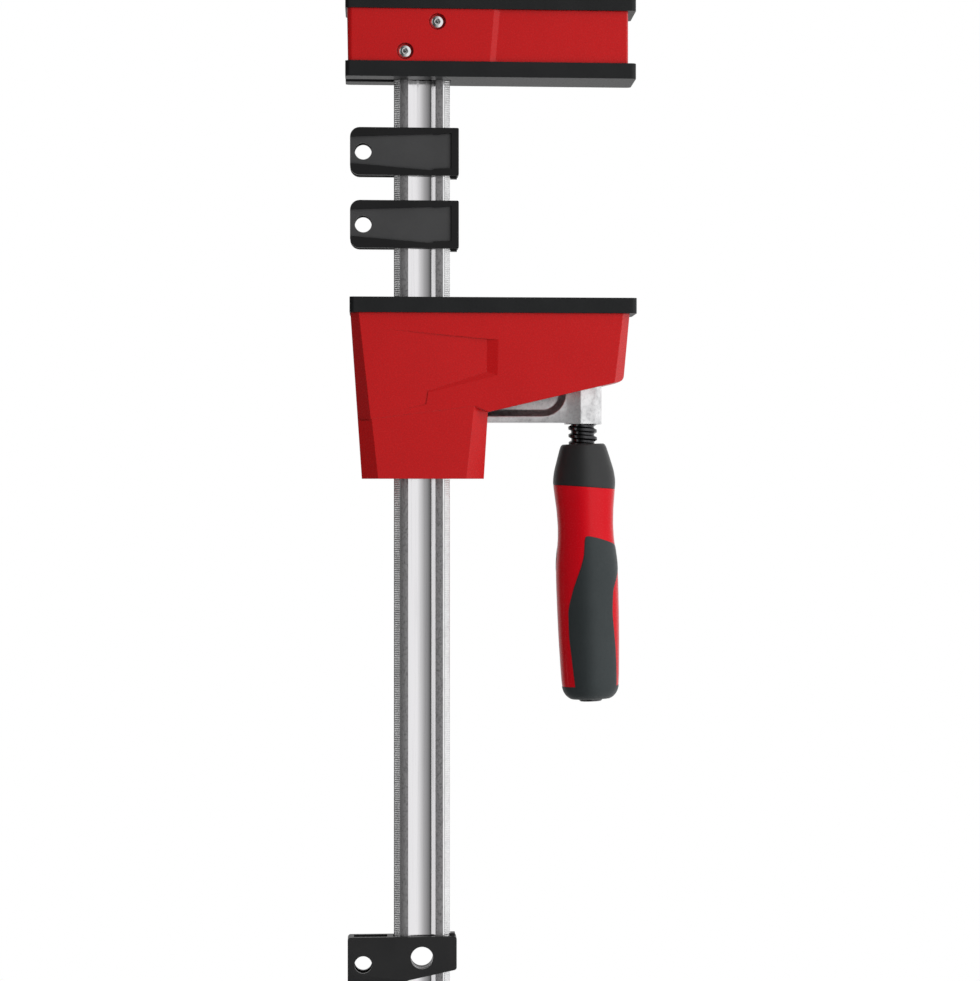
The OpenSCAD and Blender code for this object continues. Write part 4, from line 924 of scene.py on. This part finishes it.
bm = bmesh.new()
tube(bm, turned(core_rows, 72))
bmesh.ops.recalc_face_normals(bm, faces=bm.faces)
core_verts = len(bm.verts)
bm.from_mesh(ridge_mesh)
bm.verts.ensure_lookup_table()
bmesh.ops.translate(bm, verts=bm.verts[core_verts:], vec=(0, 0, thread_low + 0.6 * MM))
bmesh.ops.transform(bm, matrix=on_spindle, verts=bm.verts)
spindle_mesh = mesh_of(bm, "threaded_spindle")
shade(spindle_mesh, 40)
spindle = link_piece("threaded_spindle", spindle_mesh, [black_oxide], "screw")
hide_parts("spindle")
print("spindle faces:", len(spindle_mesh.polygons), "tip at", round(tip / MM, 1))


# %% [markdown]
# ## The handle
#
# The handle follows a rule: a smooth profile down its length, drawn in a little along six sides, like
# a worn hexagon. Points from the rule are joined into skins. The collar, the red core and the soft
# grip all take their points from it, so they lie on one flowing surface.

# %% A smooth line through a few measured rows
def through_rows(rows, x):
    """A monotone curve through (x, y) rows, without overshoot between them."""
    xs, ys = np.array([r[0] for r in rows]), np.array([r[1] for r in rows])
    step, rise = np.diff(xs), np.diff(ys) / np.diff(xs)
    slope = np.zeros(len(xs))
    same = rise[:-1] * rise[1:] > 0
    slope[1:-1][same] = 2 * rise[:-1][same] * rise[1:][same] / (rise[:-1] + rise[1:])[same]
    slope[0], slope[-1] = rise[0], rise[-1]
    x = np.clip(x, xs[0], xs[-1])
    i = np.clip(np.searchsorted(xs, x, side="right") - 1, 0, len(step) - 1)
    t = (x - xs[i]) / step[i]
    return ((1 + 2 * t) * (1 - t) ** 2 * ys[i] + t * (1 - t) ** 2 * step[i] * slope[i]
            + t * t * (3 - 2 * t) * ys[i + 1] + t * t * (t - 1) * step[i] * slope[i + 1])


handle_top = -10.4 * MM
# depth below the handle's top and radius there, in millimetres
profile_rows = [
    (0, 10.9), (0.35, 11.5), (0.9, 11.95), (1.7, 12.35), (5.7, 13.6), (9.3, 14.65), (15.1, 16.15),
    (19.8, 16.65), (24.5, 16.3), (29.2, 15.8), (34.0, 15.3), (43.4, 14.88), (48.1, 15.0), (52.8, 15.4),
    (57.5, 15.95), (62.2, 16.4), (71.6, 16.65), (85.8, 16.55), (99.9, 16.3), (110.7, 15.95),
    (118.7, 15.65), (124.0, 15.35), (127.5, 14.9), (129.7, 14.1), (131.4, 12.9), (132.6, 11.5),
    (133.3, 10.0), (133.4, 9.2)]
# depth, then the two edges of the front grip panel in degrees round from the front
panel_rows = [
    (48.1, -1.5, 2.5), (48.7, -4, 14), (49.6, -5, 27), (51.4, -6, 50), (53.4, -6.5, 74), (58.0, -8, 94),
    (63.8, -13.5, 84), (71.1, -23.5, 61), (77.9, -32.5, 50), (88.3, -42, 47.5), (98.8, -42.5, 51),
    (110.3, -39.5, 56), (126.5, -35, 60)]


def handle_point(depth, angle, out=0.0):
    """A point of the handle's skin in metres, moved out by a distance; depth in mm, angle in radians."""
    side = 1 + 0.024 * (math.cos(6 * angle) - 1) / 2
    r = float(through_rows(profile_rows, depth)) * MM * side + out
    return Vector((r * math.sin(angle), -r * math.cos(angle), handle_top - depth * MM))


print("widest radius in mm:", max(r for _, r in profile_rows))


# %% A helper that makes a piece of the handle
def handle_piece(rings, name, material):
    """Joins rings of points, moves them onto the leaning spindle and makes them a piece."""
    bm = bmesh.new()
    tube(bm, rings)
    bmesh.ops.transform(bm, matrix=on_spindle, verts=bm.verts)
    bmesh.ops.recalc_face_normals(bm, faces=bm.faces)
    mesh = mesh_of(bm, name)
    shade(mesh, 35)
    return link_piece(name, mesh, [material], "screw")


# %% [markdown]
# ### Collar
#
# The collar's lower edge leans down to one side. Its last rings follow that lean, and then turn in to
# leave a fine dark joint with the red below.

# %% Make the collar
around = 144
turns = [2 * math.pi * k / around for k in range(around)]
bore_r, collar_low, collar_lean, collar_body = 7.85 * MM, 22.4, 1.6, 19.2


def circle(radius, depth):
    """A plain ring round the spindle, at a depth in mm."""
    return [Vector((radius * math.sin(a), -radius * math.cos(a), handle_top - depth * MM)) for a in turns]


def lower_edge(angle):
    """How deep the collar's leaning lower edge is at an angle, in mm."""
    return collar_low + collar_lean * math.sin(angle)


def edge_ring(below, sunk):
    """A ring that follows the collar's lower edge, sunk under the handle's skin; both in mm."""
    return [handle_point(lower_edge(a) + below, a, -sunk * MM) for a in turns]


rings = [circle(bore_r, 4), circle(bore_r, 0.3), circle(bore_r + 0.3 * MM, 0)]
for d in (0, 0.15, 0.35, 0.6, 0.9, 1.3, 1.7, 3.0, 5.0, 7.0, 9.3, 11.5, 13.5, 15.1, 16.5, 17.7, 18.6,
          collar_body):
    rings.append([handle_point(d, a) for a in turns])
for share in (0.35, 0.7, 0.93):
    rings.append([handle_point(collar_body + (lower_edge(a) - collar_body) * share, a) for a in turns])
rings += [edge_ring(-0.14, 0.03), edge_ring(-0.05, 0.12), edge_ring(-0.02, 0.4), edge_ring(-0.02, 2.0)]
rings.append(circle(9.2 * MM, collar_low - 1.8))
collar = handle_piece(rings, "handle_collar_moulding", collar_plastic)
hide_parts("handle_collar")
print("collar faces:", len(collar.data.polygons))

# %% [markdown]
# ### Red core
#
# The core is one smooth red body from the collar to the end. The soft grip lies over it and stands out
# by a hair, so the core needs no cut-outs.

# %% Make the red core
lean_end, core_end = 30.0, 128.0
rings = [edge_ring(0.02, 2.0), edge_ring(0.03, 0.3), edge_ring(0.08, 0.10), edge_ring(0.2, 0.02)]
for share in (0.25, 0.6, 1.0):
    rings.append([handle_point(lower_edge(a) + (lean_end - lower_edge(a)) * share, a) for a in turns])
for d in np.arange(lean_end + 1.5, core_end, 1.5):
    rings.append([handle_point(float(d), a) for a in turns])
rings.append([handle_point(core_end, a, -1.0 * MM) for a in turns])
core = handle_piece(rings, "handle_red_core", red_grip)
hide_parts("handle_core")
print("core faces:", len(core.data.polygons))

# %% [markdown]
# ### Soft grip
#
# The grip is a thin skin over the core: two panels, front and rear, that widen from a narrow top and
# run into one band at the end. Its columns follow the panels' edges, and the faces between the panels
# are left out above the band. Solidify gives the skin its thickness and a bevel rounds its rim.

# %% The edges of the soft grip
columns = 22  # faces across each panel, and across each gap between the panels
grip_top, band_top, grip_lift = 48.1, 126.5, 0.16 * MM


def edge_angle(depth, column):
    """The left or right edge of the front panel at a depth, in radians."""
    rows = [(row[0], row[column]) for row in panel_rows]
    return math.radians(float(through_rows(rows, depth)))


def grip_ring(depth):
    """Points round the grip; its columns follow the edges of the front and the rear panel."""
    left, right = edge_angle(depth, 1), edge_angle(depth, 2)
    stops = [left, right, left + math.pi, right + math.pi, left + 2 * math.pi]
    return [handle_point(depth, low + (high - low) * i / columns, grip_lift)
            for low, high in zip(stops, stops[1:]) for i in range(columns)]


# close rows where the panels begin and where the end turns in
depths = [grip_top, 48.25, 48.4, 48.55, 48.7, 48.9, 49.1, 49.35, 49.6]
depths += [round(49.9 + 0.4 * i, 2) for i in range(22)] + [round(59.5 + 1.5 * i, 2) for i in range(44)]
depths += [126.0, band_top, 127.5, 128.6, 129.7, 130.6, 131.4, 132.0, 132.6, 133.0, 133.3, 133.4]
depths = sorted(set(depths))
print("rows down the grip:", len(depths))


# %% Make the soft grip
def covered(i, j):
    """True for the faces of the two panels, and for all faces of the end band."""
    return (j // columns) % 2 == 0 or depths[i] >= band_top


bm = bmesh.new()
tube(bm, [grip_ring(d) for d in depths], ends=False, keep=covered)
bmesh.ops.delete(bm, geom=[v for v in bm.verts if not v.link_faces], context="VERTS")
bmesh.ops.transform(bm, matrix=on_spindle, verts=bm.verts)
bmesh.ops.recalc_face_normals(bm, faces=bm.faces)
grip = link_piece("handle_soft_grip", mesh_of(bm, "handle_soft_grip"), [soft_grip])
thicken = grip.modifiers.new("thicken", "SOLIDIFY")
thicken.thickness = 1.2 * MM
thicken.offset = -1
rim = grip.modifiers.new("rim", "BEVEL")
rim.width = 0.14 * MM
rim.segments = 3
rim.limit_method = "ANGLE"
rim.angle_limit = math.radians(50)
grip_mesh = finished_mesh(grip, "handle_soft_grip_rounded")
grip.modifiers.clear()
grip.data = grip_mesh
shade(grip_mesh, 40)
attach(grip, "screw")
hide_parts("handle_overmould", "handle_end_cap")
print("grip faces:", len(grip_mesh.polygons))
